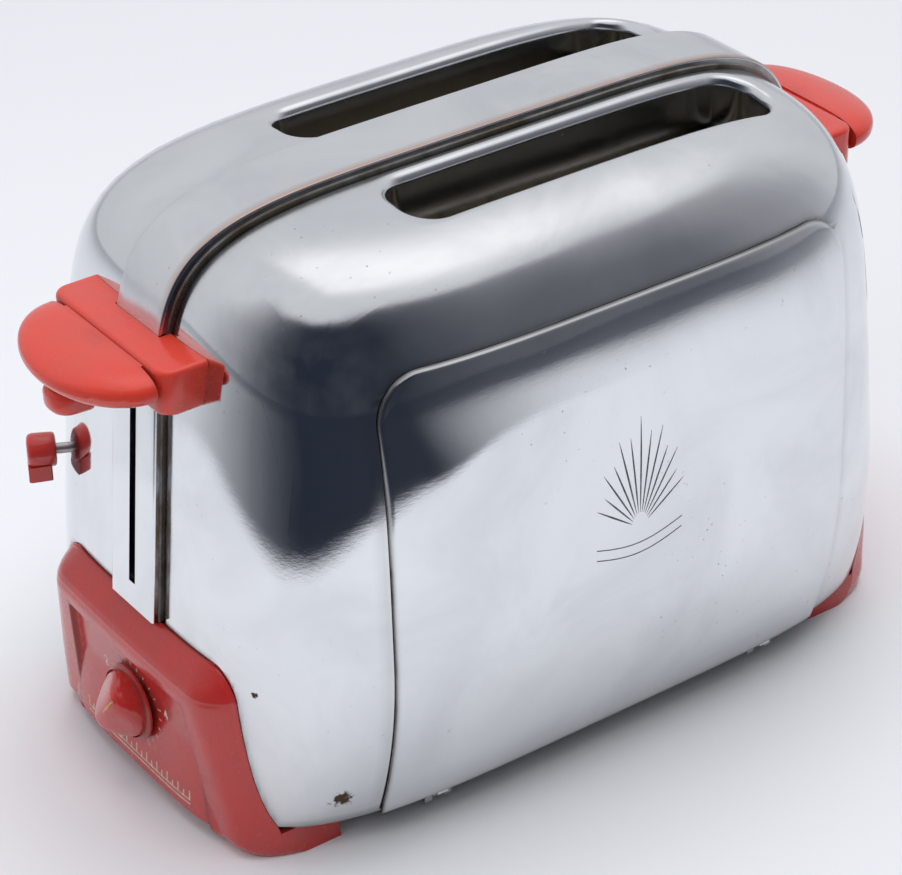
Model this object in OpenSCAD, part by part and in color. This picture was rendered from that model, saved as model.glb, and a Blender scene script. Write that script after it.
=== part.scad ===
// Pop-up toaster for two slices, with polished half shells, a raised centre band,
// moulded handles and base ends, and a side panel on each flank that drops on hinges.
// Millimetres, +Z up, X along the length with the control end at -X,
// origin on the table under the middle of the body.

/* [Body shell] */
// Length of the shells at their lower rim
body_len = 240; // [228:1:256]
// Greatest width across the shells
body_wid = 155; // [148:1:166]
// Height of the shells' crown above the table
body_top = 177.5; // [172:0.5:190]
// Height of the shells' lower rim above the table
rim_z = 11; // [9.5:0.5:13]
// Thickness of the shell metal
wall = 1.2; // [0.8:0.1:1.6]
// How far the ends lean in for each millimetre of height
end_lean = 0.085; // [0.06:0.005:0.1]
// How far the flanks tuck in at the rim
tuck = 10.3; // [7:0.1:12]

/* [Bread slots] */
// Length of a bread slot
slot_len = 129; // [118:1:132]
// Width of a bread slot
slot_wid = 22; // [20:0.5:24]
// Distance of a slot's centre from the middle plane
slot_y = 28; // [26:0.5:30]
// Shift of the slots towards the rear, away from the mechanism
slot_x = 19; // [16:0.5:20]
// Corner radius of a slot
slot_r = 9; // [6:0.5:9.5]
// Depth of the lip turned down inside a slot
slot_lip = 18; // [10:1:22]

/* [Centre band] */
// Width of the centre band
band_wid = 22.4; // [20:0.2:24]
// How far the band stands proud of the shells
band_proud = 3.1; // [3:0.1:4.5]
// Gap between the band and each shell
band_gap = 1; // [0.6:0.1:1.4]
// Height where the band ends above each base end
band_foot = 61; // [59:0.5:63]

/* [Drop doors] */
// Width of a drop door
door_wid = 160; // [150:1:164]
// Height of a drop door's top edge above the table
door_top = 152; // [146:0.5:154]
// Corner radius at the top of a drop door
door_r = 14; // [8:0.5:18]
// Thickness of a drop door
door_wall = 1.2; // [0.8:0.1:1.6]
// Rim of shell that a closed door covers
door_lap = 6; // [4:0.5:8]
// How far from the middle each door hinge sits
hinge_x = 60; // [45:1:64]
// Radius of a hinge pin
hinge_pin_r = 1.25; // [1:0.05:1.4]

/* [Handles] */
// Height of the handle's upper face
handle_top = 150.5; // [148:0.5:153]
// Height of the handle block
handle_h = 13.5; // [12:0.5:14]
// Half width of the handle block where it meets the shell
handle_hw = 29.5; // [27:0.5:32]
// Reach of the handle's nose from the middle of the body
handle_reach = 142.5; // [142:0.5:150]
// Reach of the handle block from the middle of the body
block_reach = 120.5; // [119.5:0.5:122]

/* [Base ends] */
// Height of a base end where it meets the shell
base_top = 60.5; // [56:0.5:61]
// Half width of a base end at the table
base_hw = 56; // [52:0.5:58]
// Half width of a base end at its top
base_top_hw = 44; // [38:0.5:45]
// Reach of the base end's upper ridge from the middle of the body
base_reach = 124; // [123:0.5:127]
// Clear height of the arch between the feet
arch_z = 6; // [4.5:0.5:7]

/* [Controls] */
// Travel of the carriage and its lever
carriage_travel = 62; // [50:1:62]
// Radius of the colour dial
dial_r = 10.5; // [9:0.5:12]
// Height of the colour dial's axis
dial_z = 29; // [27:0.5:30]
// Height of the release button's axis
release_z = 86; // [78:1:94]
// Distance of the release button from the middle plane
release_y = 48; // [44:1:50]
// Inward travel of the release button
release_travel = 2; // [2:0.5:4]
// Radius of the cord's hole in the rear base end
cord_r = 4; // [3.5:0.25:4.5]

/* [Hidden] */
$fn = 48;

// shape of the shells: where the ends and flanks start to round over, and how squarely
end_z = 110;
flank_z = 65.5;
end_pow = 5.3;
flank_pow = 4.25;
plan_pow = 4.3;
crown_pow = 3.8;
fit = 0.3;
slide = 0.05;
edge_y = band_wid / 2 + band_gap;
shell_gap = 0.8;

function clip(v) = max(0, min(1, v));
function half_len(z, o) = let (u = clip((z - end_z) / (body_top + o - end_z)))
    (body_len / 2 + o - end_lean * (z - rim_z)) * pow(1 - pow(u, end_pow), 1 / end_pow);
function half_wid(z, o) = let (u = clip((z - flank_z) / (body_top + o - flank_z)),
    l = max(0, (flank_z - z) / (flank_z - rim_z)))
    (body_wid / 2 + o) * pow(1 - pow(u, flank_pow), 1 / flank_pow) - tuck * l * l;
function plan(z) = plan_pow + (crown_pow - plan_pow) * clip((z - flank_z) / (body_top - flank_z));
function inside(x, y, z, o) = let (a = half_len(z, o), b = half_wid(z, o), p = plan(z))
    a > 0 && b > 0 && pow(abs(x) / a, p) + pow(abs(y) / b, p) < 1;
// height of the surface that lies o outside the shells, above the point x, y
function top_z(x, y, o, lo = 60, hi = undef, n = 24) =
    let (h = is_undef(hi) ? body_top + o : hi, m = (lo + h) / 2)
    n == 0 ? m : inside(x, y, m, o) ? top_z(x, y, o, m, h, n - 1) : top_z(x, y, o, lo, m, n - 1);
function flank_y(x, z, o) = let (p = plan(z))
    half_wid(z, o) * pow(max(0, 1 - pow(abs(x) / half_len(z, o), p)), 1 / p);
function end_x(y, z, o) = let (p = plan(z))
    half_len(z, o) * pow(max(0, 1 - pow(abs(y) / half_wid(z, o), p)), 1 / p);
function mix(a, b, t) = a + (b - a) * t;
function ease(t) = t * t * (3 - 2 * t);

// a closed solid between the point grids a and b, over the cells where on(i, j) holds
module sheet_solid(a, b, on, wrap = false) {
    rows = len(a) - 1;
    n = len(a[0]);
    cols = wrap ? n : n - 1;
    off = len(a) * n;
    is_on = function (i, j) i >= 0 && i < rows && (wrap || (j >= 0 && j < cols))
        && on(i, (j + n) % n);
    p = function (i, j, s) i * n + (j + n) % n + s * off;
    polyhedron(
        points = concat([for (r = a) each r], [for (r = b) each r]),
        faces = [for (i = [0:rows - 1], j = [0:cols - 1]) if (is_on(i, j)) each concat(
            [[p(i, j, 0), p(i + 1, j + 1, 0), p(i + 1, j, 0)],
             [p(i, j, 0), p(i, j + 1, 0), p(i + 1, j + 1, 0)],
             [p(i, j, 1), p(i + 1, j, 1), p(i + 1, j + 1, 1)],
             [p(i, j, 1), p(i + 1, j + 1, 1), p(i, j + 1, 1)]],
            is_on(i - 1, j) ? [] : [[p(i, j, 0), p(i, j + 1, 1), p(i, j + 1, 0)],
                [p(i, j, 0), p(i, j, 1), p(i, j + 1, 1)]],
            is_on(i + 1, j) ? [] : [[p(i + 1, j, 0), p(i + 1, j + 1, 0), p(i + 1, j + 1, 1)],
                [p(i + 1, j, 0), p(i + 1, j + 1, 1), p(i + 1, j, 1)]],
            is_on(i, j - 1) ? [] : [[p(i, j, 0), p(i + 1, j, 0), p(i + 1, j, 1)],
                [p(i, j, 0), p(i + 1, j, 1), p(i, j, 1)]],
            is_on(i, j + 1) ? [] : [[p(i, j + 1, 0), p(i + 1, j + 1, 1), p(i + 1, j + 1, 0)],
                [p(i, j + 1, 0), p(i, j + 1, 1), p(i + 1, j + 1, 1)]])]);
}

// grid sizes and places of the half shells
crown_x = 92;
crown_y = 56;
rim_corner_x = 102;
rim_corner_y = rim_corner_x / body_len * 2 * body_wid / 2 - tuck + 2.5;
end_cols = 5;
side_cols = 16;
side_edge = 2;
low_rows = 8;
high_rows = 5;
ring_rows = 3;
open_x = door_wid / 2 - door_lap;
open_top = door_top - door_lap;
open_low = 22;
open_row = 1;
slot_lo = slot_x - slot_len / 2;
slot_hi = slot_x + slot_len / 2;

// fractions along an end and along a side of the crown rectangle, closer at its corners
function end_f(k) = sin(90 * k / end_cols);
function side_f(k) = -cos(180 * k / side_cols);
// walk round the crown rectangle: front end, flank, rear end, then back along the band
function crown_pt(j) = j <= end_cols ? [-crown_x, mix(edge_y, crown_y, end_f(j))]
    : j <= end_cols + side_cols ? [crown_x * side_f(j - end_cols), crown_y]
    : j <= 2 * end_cols + side_cols
        ? [crown_x, mix(edge_y, crown_y, end_f(2 * end_cols + side_cols - j))]
    : [crown_x * side_f(2 * (end_cols + side_cols) - j), edge_y];
ring_n = 2 * (end_cols + side_cols);
// the slot's outline, walked the same way: straight runs with a quarter arc at each corner
function slot_pt(j, g = 0) = let (r = slot_r + g, a = slot_len / 2 - slot_r, b = slot_wid / 2 - slot_r,
    e = end_cols, s = side_cols,
    c = function (sx, sy, t) [slot_x + sx * (a + r * cos(90 * t)), slot_y + sy * (b + r * sin(90 * t))])
    j <= e / 2 ? c(-1, -1, mix(0.5, 0, j / (e / 2)))
    : j <= e ? c(-1, 1, mix(0, 0.5, (j - e / 2) / (e / 2)))
    : j <= e + 2 ? c(-1, 1, mix(0.5, 1, (j - e) / 2))
    : j < e + s - 2 ? [mix(slot_x - a, slot_x + a, (j - e - 2) / (s - 4)), slot_y + b + r]
    : j <= e + s ? c(1, 1, mix(1, 0.5, (j - e - s + 2) / 2))
    : j <= e + s + e / 2 ? c(1, 1, mix(0.5, 0, (j - e - s) / (e / 2)))
    : j <= 2 * e + s ? c(1, -1, mix(0, 0.5, (j - e - s - e / 2) / (e / 2)))
    : j <= 2 * e + s + 2 ? c(1, -1, mix(0.5, 1, (j - 2 * e - s) / 2))
    : j < 2 * e + 2 * s - 2 ? [mix(slot_x + a, slot_x - a, (j - 2 * e - s - 2) / (s - 4)), slot_y - b - r]
    : c(-1, -1, mix(1, 0.5, (j - 2 * e - 2 * s + 2) / 2));
// where a column of the wall stands, as a fraction t down from the crown to the door's rows
function wall_pt(j, z, t, o) = j <= end_cols
    ? let (y = mix(crown_pt(j)[1], mix(edge_y, rim_corner_y, end_f(j)), t)) [-end_x(y, z, o), y]
    : j <= end_cols + side_cols
    ? let (k = j - end_cols, m = side_cols - side_edge,
        x = k < side_edge ? mix(-rim_corner_x, -open_x, k / side_edge)
          : k > m ? mix(open_x, rim_corner_x, (k - m) / side_edge)
          : mix(-open_x, open_x, (k - side_edge) / (m - side_edge)),
        q = mix(crown_pt(j)[0], x, t)) [q, flank_y(q, z, o)]
    : let (y = mix(crown_pt(j)[1], mix(edge_y, rim_corner_y,
        end_f(2 * end_cols + side_cols - j)), t)) [end_x(y, z, o), y];
function low_z(i) = i <= open_row ? mix(rim_z, open_low, i / open_row)
    : mix(open_low, open_top, (i - open_row) / (low_rows - open_row));
// one skin of the shell, o outside its outer face; rows run from the rim to the slot's lip
function skin(o) = concat(
    [for (i = [0:low_rows]) [for (j = [0:ring_n - 1]) j > 2 * end_cols + side_cols ? [0, 0, 0]
        : concat(wall_pt(j, low_z(i), 1, o), low_z(i))]],
    [for (i = [1:high_rows - 1]) let (f = sin(90 * i / high_rows))
        [for (j = [0:ring_n - 1]) j > 2 * end_cols + side_cols ? [0, 0, 0]
        : let (c = crown_pt(j), z = mix(open_top, top_z(c[0], c[1], o), f))
            concat(wall_pt(j, z, 1 - f, o), z)]],
    [for (i = [0:ring_rows]) [for (j = [0:ring_n - 1])
        let (c = mix(crown_pt(j), slot_pt(j, -o), i / ring_rows)) concat(c, top_z(c[0], c[1], o))]],
    [[for (j = [0:ring_n - 1]) let (c = slot_pt(j, -o), d = slot_pt(j))
        concat(c, top_z(d[0], d[1], 0) - slot_lip)]]);
wall_rows = low_rows + high_rows;
function shell_on(i, j) = i >= wall_rows ? true
    : j < 2 * end_cols + side_cols
      && !(i >= open_row && i < low_rows && j >= end_cols + side_edge
        && j < end_cols + side_cols - side_edge);
module half_shell() {
    difference() {
        sheet_solid(skin(0), skin(-wall), function (i, j) shell_on(i, j), true);
        for (s = [-1, 1]) handle_screw_at(s) cylinder(r = screw_r + slide, h = 40, center = true);
    }
}
module near_shell() {
    color("gainsboro") mirror([0, 1, 0]) half_shell();
}
module far_shell() {
    color("gainsboro") difference() {
        half_shell();
        release_axis() cylinder(r = stem_r + fit, h = 20, center = true);
    }
}

// band profile in the XZ plane at the distance o from the shells, from the height low up
band_low_n = 3;
band_high_n = 18;
function band_side(o, low) = concat(
    [for (i = [0:band_low_n - 1]) let (z = mix(low, end_z, i / band_low_n)) [-half_len(z, o), z]],
    [for (i = [0:band_high_n - 1]) let (a = 90 * pow(i / band_high_n, 1.6),
        z = end_z + (body_top + o - end_z) * pow(sin(a), 2 / end_pow)) [-half_len(z, o), z]],
    [[0, body_top + o]]);
function band_line(o, low) = let (f = band_side(o, low), n = len(f))
    concat(f, [for (i = [2:n]) [-f[n - i][0], f[n - i][1]]]);
module band_prism(inner, outer, low, w) {
    f = band_line(outer, low);
    g = band_line(inner, low);
    rotate([90, 0, 0]) linear_extrude(w, center = true)
        polygon(concat(f, [for (i = [1:len(g)]) g[len(g) - i]]));
}
band_wall = 1.2;
rib_wall = 1.5;
rib_hw = 15;
rib_low = 42;
rib_out = -wall - shell_gap;
module lever_slot_cut() {
    translate([-body_len / 2 - band_proud - 5, -lever_slot_w / 2, lever_slot_low])
        cube([30, lever_slot_w, lever_low + lever_h + 1.3 - lever_slot_low]);
}
module centre_band() {
    color("silver") difference() {
        band_prism(rib_out, band_proud, band_foot, band_wid);
        band_prism(rib_out - 1, band_proud - band_wall, band_foot - 1, band_wid - 2 * band_wall);
        lever_slot_cut();
    }
}
module band_rib() {
    color("dimgray") difference() {
        band_prism(rib_out - rib_wall, rib_out, rib_low, 2 * rib_hw);
        lever_slot_cut();
    }
}

// drop doors: a skin just outside the shell, hung on two lugs under the rim
hinge_y = body_wid / 2 - 15.5;
hinge_z = 8;
lug_r = 2.5;
lug_w = 3.6;
lug_top = rim_z - 0.4;
lug_low = hinge_z + 0.8;
door_low = 9.5;
door_cols = 16;
door_rows = 9;
function door_z(x, i) = let (e = max(0, abs(x) - (door_wid / 2 - door_r)),
    top = door_top - door_r + sqrt(max(0, door_r * door_r - e * e)))
    mix(door_low, top, i < door_rows - 1 ? 0.93 * i / (door_rows - 1) : i == door_rows ? 1 : 0.95);
function door_skin(o) = [for (i = [0:door_rows]) [for (j = [0:door_cols])
    let (x = -door_wid / 2 * cos(180 * j / door_cols), z = door_z(x, i)) [x, flank_y(x, z, o), z]]];
module drop_door() {
    difference() {
        union() {
            sheet_solid(door_skin(fit + door_wall), door_skin(fit), function (i, j) true);
            for (s = [-1, 1]) translate([s * hinge_x - lug_w / 2, 0, 0]) {
                translate([0, hinge_y, lug_low])
                    cube([lug_w, flank_y(hinge_x, door_low, fit + door_wall / 2) - hinge_y,
                        lug_top - lug_low]);
                translate([0, hinge_y, hinge_z]) rotate([0, 90, 0]) cylinder(r = lug_r, h = lug_w);
            }
        }
        for (s = [-1, 1]) translate([s * hinge_x, hinge_y, hinge_z]) rotate([0, 90, 0])
            cylinder(r = hinge_pin_r + slide, h = 2 * lug_w, center = true);
    }
}
module near_drop_door() { color("whitesmoke") mirror([0, 1, 0]) drop_door(); }
module far_drop_door() { color("whitesmoke") drop_door(); }
ear_t = 2.5;
ear_gap = lug_w / 2 + fit;
pin_len = 2 * (ear_gap + ear_t);
module hinge_pins() {
    color("dimgray") for (s = [-1, 1]) translate([s * hinge_x, hinge_y, hinge_z])
        rotate([0, 90, 0]) cylinder(r = hinge_pin_r, h = pin_len, center = true);
}
module far_hinge_pins() { hinge_pins(); }
module near_hinge_pins() { mirror([0, 1, 0]) hinge_pins(); }

// frame plates that stand across the base pan and carry heaters, guards and doors
pan_low = 8.6;
pan_top = 10;
pan_edge = 16;
pan_wall = 1;
front_x = -58;
rear_x = 88;
plate_t = 1.2;
plate_hw = 56;
front_plate_top = body_top - 19.5;
rear_plate_top = body_top - 31.5;
rear_plate_hw = 52;
catch_z = door_top - 14;
catch_h = 7;
catch_t = 0.8;
function plan_ring(z, o, n) = let (a = half_len(z, o), b = half_wid(z, o), e = 2 / plan(z))
    [for (i = [0:n - 1]) let (c = cos(360 * i / n), s = sin(360 * i / n))
        [a * sign(c) * pow(abs(c), e), b * sign(s) * pow(abs(s), e)]];
module base_pan() {
    o = -wall - 0.9;
    color("dimgray") difference() {
        union() {
            translate([0, 0, pan_low]) linear_extrude(pan_edge - pan_low)
                polygon(plan_ring(rim_z, o, 64));
            for (s = [-1, 1], t = [-1, 1], q = [-1, 1]) translate([s * hinge_x + t * (ear_gap
                + ear_t / 2) - ear_t / 2, q > 0 ? hinge_y - 8 : -hinge_y - 2.3, hinge_z - 2.3])
                cube([ear_t, 10.3, pan_top - hinge_z + 2.3]);
        }
        translate([0, 0, pan_top]) linear_extrude(pan_edge)
            polygon(plan_ring(rim_z, o - pan_wall, 64));
        for (s = [-1, 1], q = [-1, 1]) {
            translate([s * hinge_x - ear_gap, q > 0 ? hinge_y - 4 : -hinge_y - 16, 0])
                cube([2 * ear_gap, 20, lug_top + fit]);
            translate([s * hinge_x, q * hinge_y, hinge_z]) rotate([0, 90, 0])
                cylinder(r = hinge_pin_r, h = pin_len, center = true);
        }
        for (s = [-1, 1], q = [-1, 1]) translate([s * foot_screw_x, q * foot_screw_y, 0])
            cylinder(r = screw_r + slide, h = pan_edge);
    }
}
rack_slot_w = 4.4;
bus_y = 47.5;
bus_t = 1;
bus_h = 4;
module bus_cuts(x) {
    for (q = [-1, 1]) translate([x - 1, q * bus_y - bus_t / 2 - 0.5, 0])
        cube([plate_t + 2, bus_t + 1, pan_top + bus_h + 0.5]);
}
module front_frame() {
    color("lightslategray") difference() {
        union() {
            translate([front_x, -plate_hw, pan_top])
                cube([plate_t, 2 * plate_hw, front_plate_top - pan_top]);
            translate([rod_x - 6, -18, front_plate_top - 1]) cube([front_x - rod_x + 6.5, 36, 1.6]);
        }
        for (q = [-1, 1]) translate([front_x - 1, q * slot_y - rack_slot_w / 2,
            rack_z - carriage_travel - 3])
            cube([plate_t + 2, rack_slot_w, carriage_travel + rack_h + 6]);
        bus_cuts(front_x);
        translate([rod_x, 0, front_plate_top - 5]) cylinder(r = rod_r + slide, h = 10);
    }
}
module rear_frame() {
    color("lightslategray") difference() {
        translate([rear_x, -rear_plate_hw, pan_top])
            cube([plate_t, 2 * rear_plate_hw, rear_plate_top - pan_top]);
        bus_cuts(rear_x);
    }
}
module door_catches() {
    color("silver") for (x = [front_x, rear_x - 26]) {
        reach = flank_y(x, catch_z + catch_h, 0);
        w = x < 0 ? plate_t : 2;
        if (x < 0) translate([x, plate_hw, catch_z]) cube([w, reach - plate_hw, catch_h]);
        else translate([x, heat_y + card_t / 2 + fit, catch_z])
            cube([w, reach - heat_y - card_t / 2 - fit, catch_h]);
    }
}
module far_door_catches() { door_catches(); }
module near_door_catches() { mirror([0, 1, 0]) door_catches(); }

// heaters: mica cards with flat wire wound across their faces
card_t = 1.2;
heat_y = 44.5;
heat_low = pan_top + fit;
centre_top = body_top - 20.5;
outer_top = body_top - 29.5;
wire_n = 10;
wire_h = 1.4;
wire_t = 0.3;
card_x0 = front_x + plate_t + fit;
card_len = rear_x - fit - card_x0;
module heater(y, top, faces) {
    color("wheat") translate([card_x0, y - card_t / 2, heat_low])
        cube([card_len, card_t, top - heat_low]);
    color("sienna") for (f = faces, i = [0:wire_n - 1])
        translate([card_x0 + 6, y + f * card_t / 2 - (f < 0 ? wire_t : 0),
            mix(26, top - 10, i / (wire_n - 1))]) cube([card_len - 12, wire_t, wire_h]);
}
module near_outer_heater() { heater(-heat_y, outer_top, [1]); }
module centre_heater() { heater(0, centre_top, [-1, 1]); }
module far_outer_heater() { heater(heat_y, outer_top, [-1]); }

// guard wires on both sides of each bread chamber
guard_off = slot_wid / 2;
guard_wire_r = 0.8;
guard_rail_r = 1.1;
guard_n = 8;
guard_low = 24;
guard_top = body_top - 28.5;
module guard_grids() {
    color("gray") for (q = [-1, 1]) translate([0, slot_y + q * guard_off, 0]) {
        for (z = [guard_low, guard_top]) translate([card_x0, 0, z]) rotate([0, 90, 0])
            cylinder(r = guard_rail_r, h = card_len);
        for (i = [0:guard_n - 1]) translate([mix(slot_lo + 5, slot_hi - 5, i / (guard_n - 1)),
            0, guard_low]) cylinder(r = guard_wire_r, h = guard_top - guard_low);
    }
}
module far_guard_grids() { guard_grids(); }
module near_guard_grids() { mirror([0, 1, 0]) guard_grids(); }

// carriage, racks and lever: they slide down the guide rod together
rod_x = -88;
rod_r = 3;
rack_z = 106;
rack_h = 4;
rack_w = 3;
rack_wire_n = 7;
rack_wire_r = 1;
rack_wire_l = 15;
hub_r = 6;
lever_low = 132;
lever_h = 4;
lever_t = 2;
lever_end = 136;
lever_slot_w = 3.2;
lever_slot_low = lever_low - carriage_travel - 1.2;
module carriage() {
    color("slategray") difference() {
        union() {
            translate([rod_x - 6, -slot_y - 3, rack_z - 2]) cube([28, 2 * slot_y + 6, 2]);
            translate([rod_x, 0, rack_z - 2]) cylinder(r = hub_r, h = lever_low + lever_h - rack_z + 2);
            translate([-lever_end, -lever_t / 2, lever_low]) cube([lever_end + rod_x, lever_t, lever_h]);
        }
        translate([rod_x, 0, 0]) cylinder(r = rod_r + slide, h = 200);
    }
}
module bread_rack() {
    color("silver") {
        translate([rod_x + 12, slot_y - rack_w / 2, rack_z]) cube([slot_hi - 5 - rod_x - 12, rack_w, rack_h]);
        for (i = [0:rack_wire_n - 1])
            translate([mix(slot_lo + 8, slot_hi - 12, i / (rack_wire_n - 1)), slot_y, rack_z + rack_h])
                rotate([90, 0, 0]) cylinder(r = rack_wire_r, h = rack_wire_l, center = true);
    }
}
module far_bread_rack() { bread_rack(); }
module near_bread_rack() { mirror([0, 1, 0]) bread_rack(); }
knob_in = 127;
knob_out = 141;
knob_hw = 6.8;
knob_low = 130.8;
knob_top = 139;
module lever_knob() {
    color("firebrick") difference() {
        hull() for (z = [[knob_low, 4], [knob_low + 2.5, 1], [knob_top - 2, 0], [knob_top - 0.5, 1.2]])
            translate([0, 0, z[0]]) linear_extrude(0.5) hull() {
                translate([-knob_in - 2.5 - z[1] / 2, 0]) square([4, 2 * (knob_hw - z[1])], center = true);
                translate([-knob_out + knob_hw + z[1] / 3, 0]) circle(r = knob_hw - z[1] / 2, $fn = 28);
            }
        translate([-lever_end - fit, -lever_t / 2, lever_low])
            cube([lever_end, lever_t, lever_h]);
    }
}
module guide_rod() {
    color("silver") translate([rod_x, 0, pan_top]) cylinder(r = rod_r, h = front_plate_top + 1.2 - pan_top);
}
spring_x = -80;
spring_y = 12;
spring_r = 4;
spring_wire = 0.6;
spring_turns = 11;
module carriage_spring() {
    lo = rack_z + 0.1 + spring_wire;
    hi = front_plate_top - 1.1 - spring_wire;
    steps = spring_turns * 10;
    ring = function (k) let (a = 360 * k / 10, z = mix(lo, hi, k / steps))
        [for (m = [0:5]) let (b = 60 * m, r = spring_r + spring_wire * cos(b))
            [spring_x + r * cos(a), spring_y + r * sin(a), z + spring_wire * sin(b)]];
    color("darkgray") polyhedron(
        points = [for (k = [0:steps]) each ring(k)],
        faces = concat([[for (m = [0:5]) 5 - m]], [[for (m = [0:5]) steps * 6 + m]],
            [for (k = [0:steps - 1], m = [0:5]) each [
                [k * 6 + m, k * 6 + (m + 1) % 6, k * 6 + 6 + m],
                [k * 6 + (m + 1) % 6, k * 6 + 6 + (m + 1) % 6, k * 6 + 6 + m]]]));
}

// handles: a notched block against the shell, a groove, and a half oval grip
grip_hw = 29.2;
groove_w = 1.1;
screw_r = 1.7;
head_clear = 0.6;
handle_screw_y = 20;
handle_head_r = 3.2;
handle_screw_len = block_reach - 4.5 + head_clear
    - end_x(handle_screw_y, handle_top - handle_h / 2 + handle_head_r, -wall);
function block_x(y, z) = abs(y) < band_wid / 2 + 0.5 ? half_len(z, band_proud + fit) : end_x(y, z, fit);
notch = band_wid / 2 + 0.4;
function block_ys() = [-handle_hw, -27, -22, -17, -notch - 0.25, -notch, notch, notch + 0.25,
    17, 22, 27, handle_hw];
function block_zs() = [for (t = [0, 0.12, 0.88, 1]) handle_top - handle_h * (1 - t)];
function block_in(z) = z == block_zs()[0] || z == block_zs()[3] ? 1.2 : 0;
module handle() {
    difference() {
        union() {
            sheet_solid(
                [for (z = block_zs()) [for (y = block_ys()) let (w = handle_hw - block_in(z))
                    [-block_reach + block_in(z), y * grip_hw / handle_hw * w / handle_hw, z]]],
                [for (z = block_zs()) [for (y = block_ys()) let (w = handle_hw - block_in(z),
                    q = abs(y) > 16 ? y * w / handle_hw : y) [-block_x(q, z), q, z]]],
                function (i, j) true);
            translate([-block_reach - 3, -grip_hw + 6, handle_top - handle_h + 4])
                cube([5, 2 * grip_hw - 12, handle_h - 6.5]);
            hull() for (g = [[handle_top - handle_h + 2.9, 6], [handle_top - handle_h + 5.5, 1.5],
                [handle_top - 5, 0], [handle_top - 2, 1], [handle_top - 0.4, 4]])
                translate([-block_reach - groove_w, 0, g[0]]) linear_extrude(0.4) intersection() {
                    scale([handle_reach - block_reach - groove_w - g[1], grip_hw - g[1] / 2])
                        circle(r = 1, $fn = 44);
                    translate([-60, -60]) square([60, 120]);
                }
        }
        for (q = [-1, 1]) translate([-block_reach + 4, q * handle_screw_y, handle_top - handle_h / 2])
            rotate([0, 90, 0]) cylinder(r = screw_r + slide, h = 30);
    }
}
module handle_screw_at(s) {
    translate([s * (block_reach - 13), handle_screw_y, handle_top - handle_h / 2])
        rotate([0, 90, 0]) children();
}
module front_handle() { color("indianred") handle(); }
module rear_handle() { color("indianred") mirror([1, 0, 0]) handle(); }
module handle_screws() {
    color("silver") for (s = [-1, 1], q = [-1, 1])
        translate([s * (block_reach - 4.5), q * handle_screw_y, handle_top - handle_h / 2])
            rotate([0, s < 0 ? 90 : -90, 0]) {
                cylinder(r = screw_r, h = handle_screw_len + 0.1);
                translate([0, 0, handle_screw_len]) cylinder(r = handle_head_r, h = 2);
            }
}

// base ends: a moulded cover with a sloping top, a sunk panel and two feet
ridge_z = 52;
base_low_reach = 118;
foot_back = 88;
foot_top = 8.3;
sunk = 2;
panel_top = 46.5;
base_corner = 9;
foot_corner = 6;
panel_v = 0.66;
bevel_v = 0.74;
skin_t = 1;
foot_screw_x = 102;
foot_screw_y = 44;
function round_in(r, t) = r - sqrt(max(0, r * r - pow(max(0, min(r, t)), 2)));
function base_hwz(z) = mix(base_hw, base_top_hw, z / base_top)
    - round_in(base_corner, z - base_top + base_corner);
function base_zs() = concat([0, foot_corner * 0.3, foot_corner * 0.65, arch_z, foot_top, foot_top + 0.2,
    20, 34, panel_top - 0.4, panel_top + 0.6, ridge_z - 1.2], [for (t = [0, 0.4, 0.7, 0.9, 1])
    mix(ridge_z, base_top, t)]);
function base_vs() = [-1, -0.94, -0.87, -0.8, -bevel_v, -panel_v - 0.03, -panel_v, -0.33, 0,
    0.33, panel_v, panel_v + 0.03, bevel_v, 0.8, 0.87, 0.94, 1];
function base_front(v, z) = let (y = v * base_hwz(z), c = max(z, rim_z),
    back = end_x(y, c, fit) + skin_t,
    face = z <= ridge_z ? mix(base_low_reach, base_reach, z / ridge_z)
        : mix(base_reach, half_len(base_top, fit) + skin_t, (z - ridge_z) / (base_top - ridge_z)),
    dip = abs(v) <= panel_v && z < panel_top ? sunk : 0,
    t = clip((abs(v) - bevel_v) / (1 - bevel_v)))
    max(back, mix(face, back, t * t) - dip) - round_in(foot_corner, foot_corner - z);
module base_end() {
    zs = base_zs();
    vs = base_vs();
    sheet_solid(
        [for (z = zs) [for (v = vs) [-base_front(v, z), v * base_hwz(z), z]]],
        [for (z = zs) [for (v = vs) let (y = v * base_hwz(z))
            [z <= foot_top ? -foot_back : -end_x(y, max(z, rim_z), 2 * fit), y, z]]],
        function (i, j) i > 2 || abs(vs[j] + vs[j + 1]) / 2 > panel_v);
}
module foot_holes() {
    for (q = [-1, 1]) translate([-foot_screw_x, q * foot_screw_y, -1]) {
        cylinder(r = screw_r + slide, h = 20);
        cylinder(r = 3.4, h = 4.5);
    }
}
module front_base_end() {
    color("firebrick") difference() {
        base_end();
        foot_holes();
        translate([-130, 0, dial_z]) rotate([0, 90, 0]) cylinder(r = shaft_r + 0.6, h = 30);
    }
}
module rear_base_end() {
    color("firebrick") mirror([1, 0, 0]) difference() {
        base_end();
        foot_holes();
        translate([-130, 0, cord_z]) rotate([0, 90, 0]) cylinder(r = bush_r + 0.15, h = 30);
    }
}
module base_screws() {
    color("silver") for (s = [-1, 1], q = [-1, 1]) translate([s * foot_screw_x, q * foot_screw_y, 1.7]) {
        cylinder(r = 3.2, h = 1.8);
        cylinder(r = screw_r, h = 11.5);
    }
}

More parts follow.
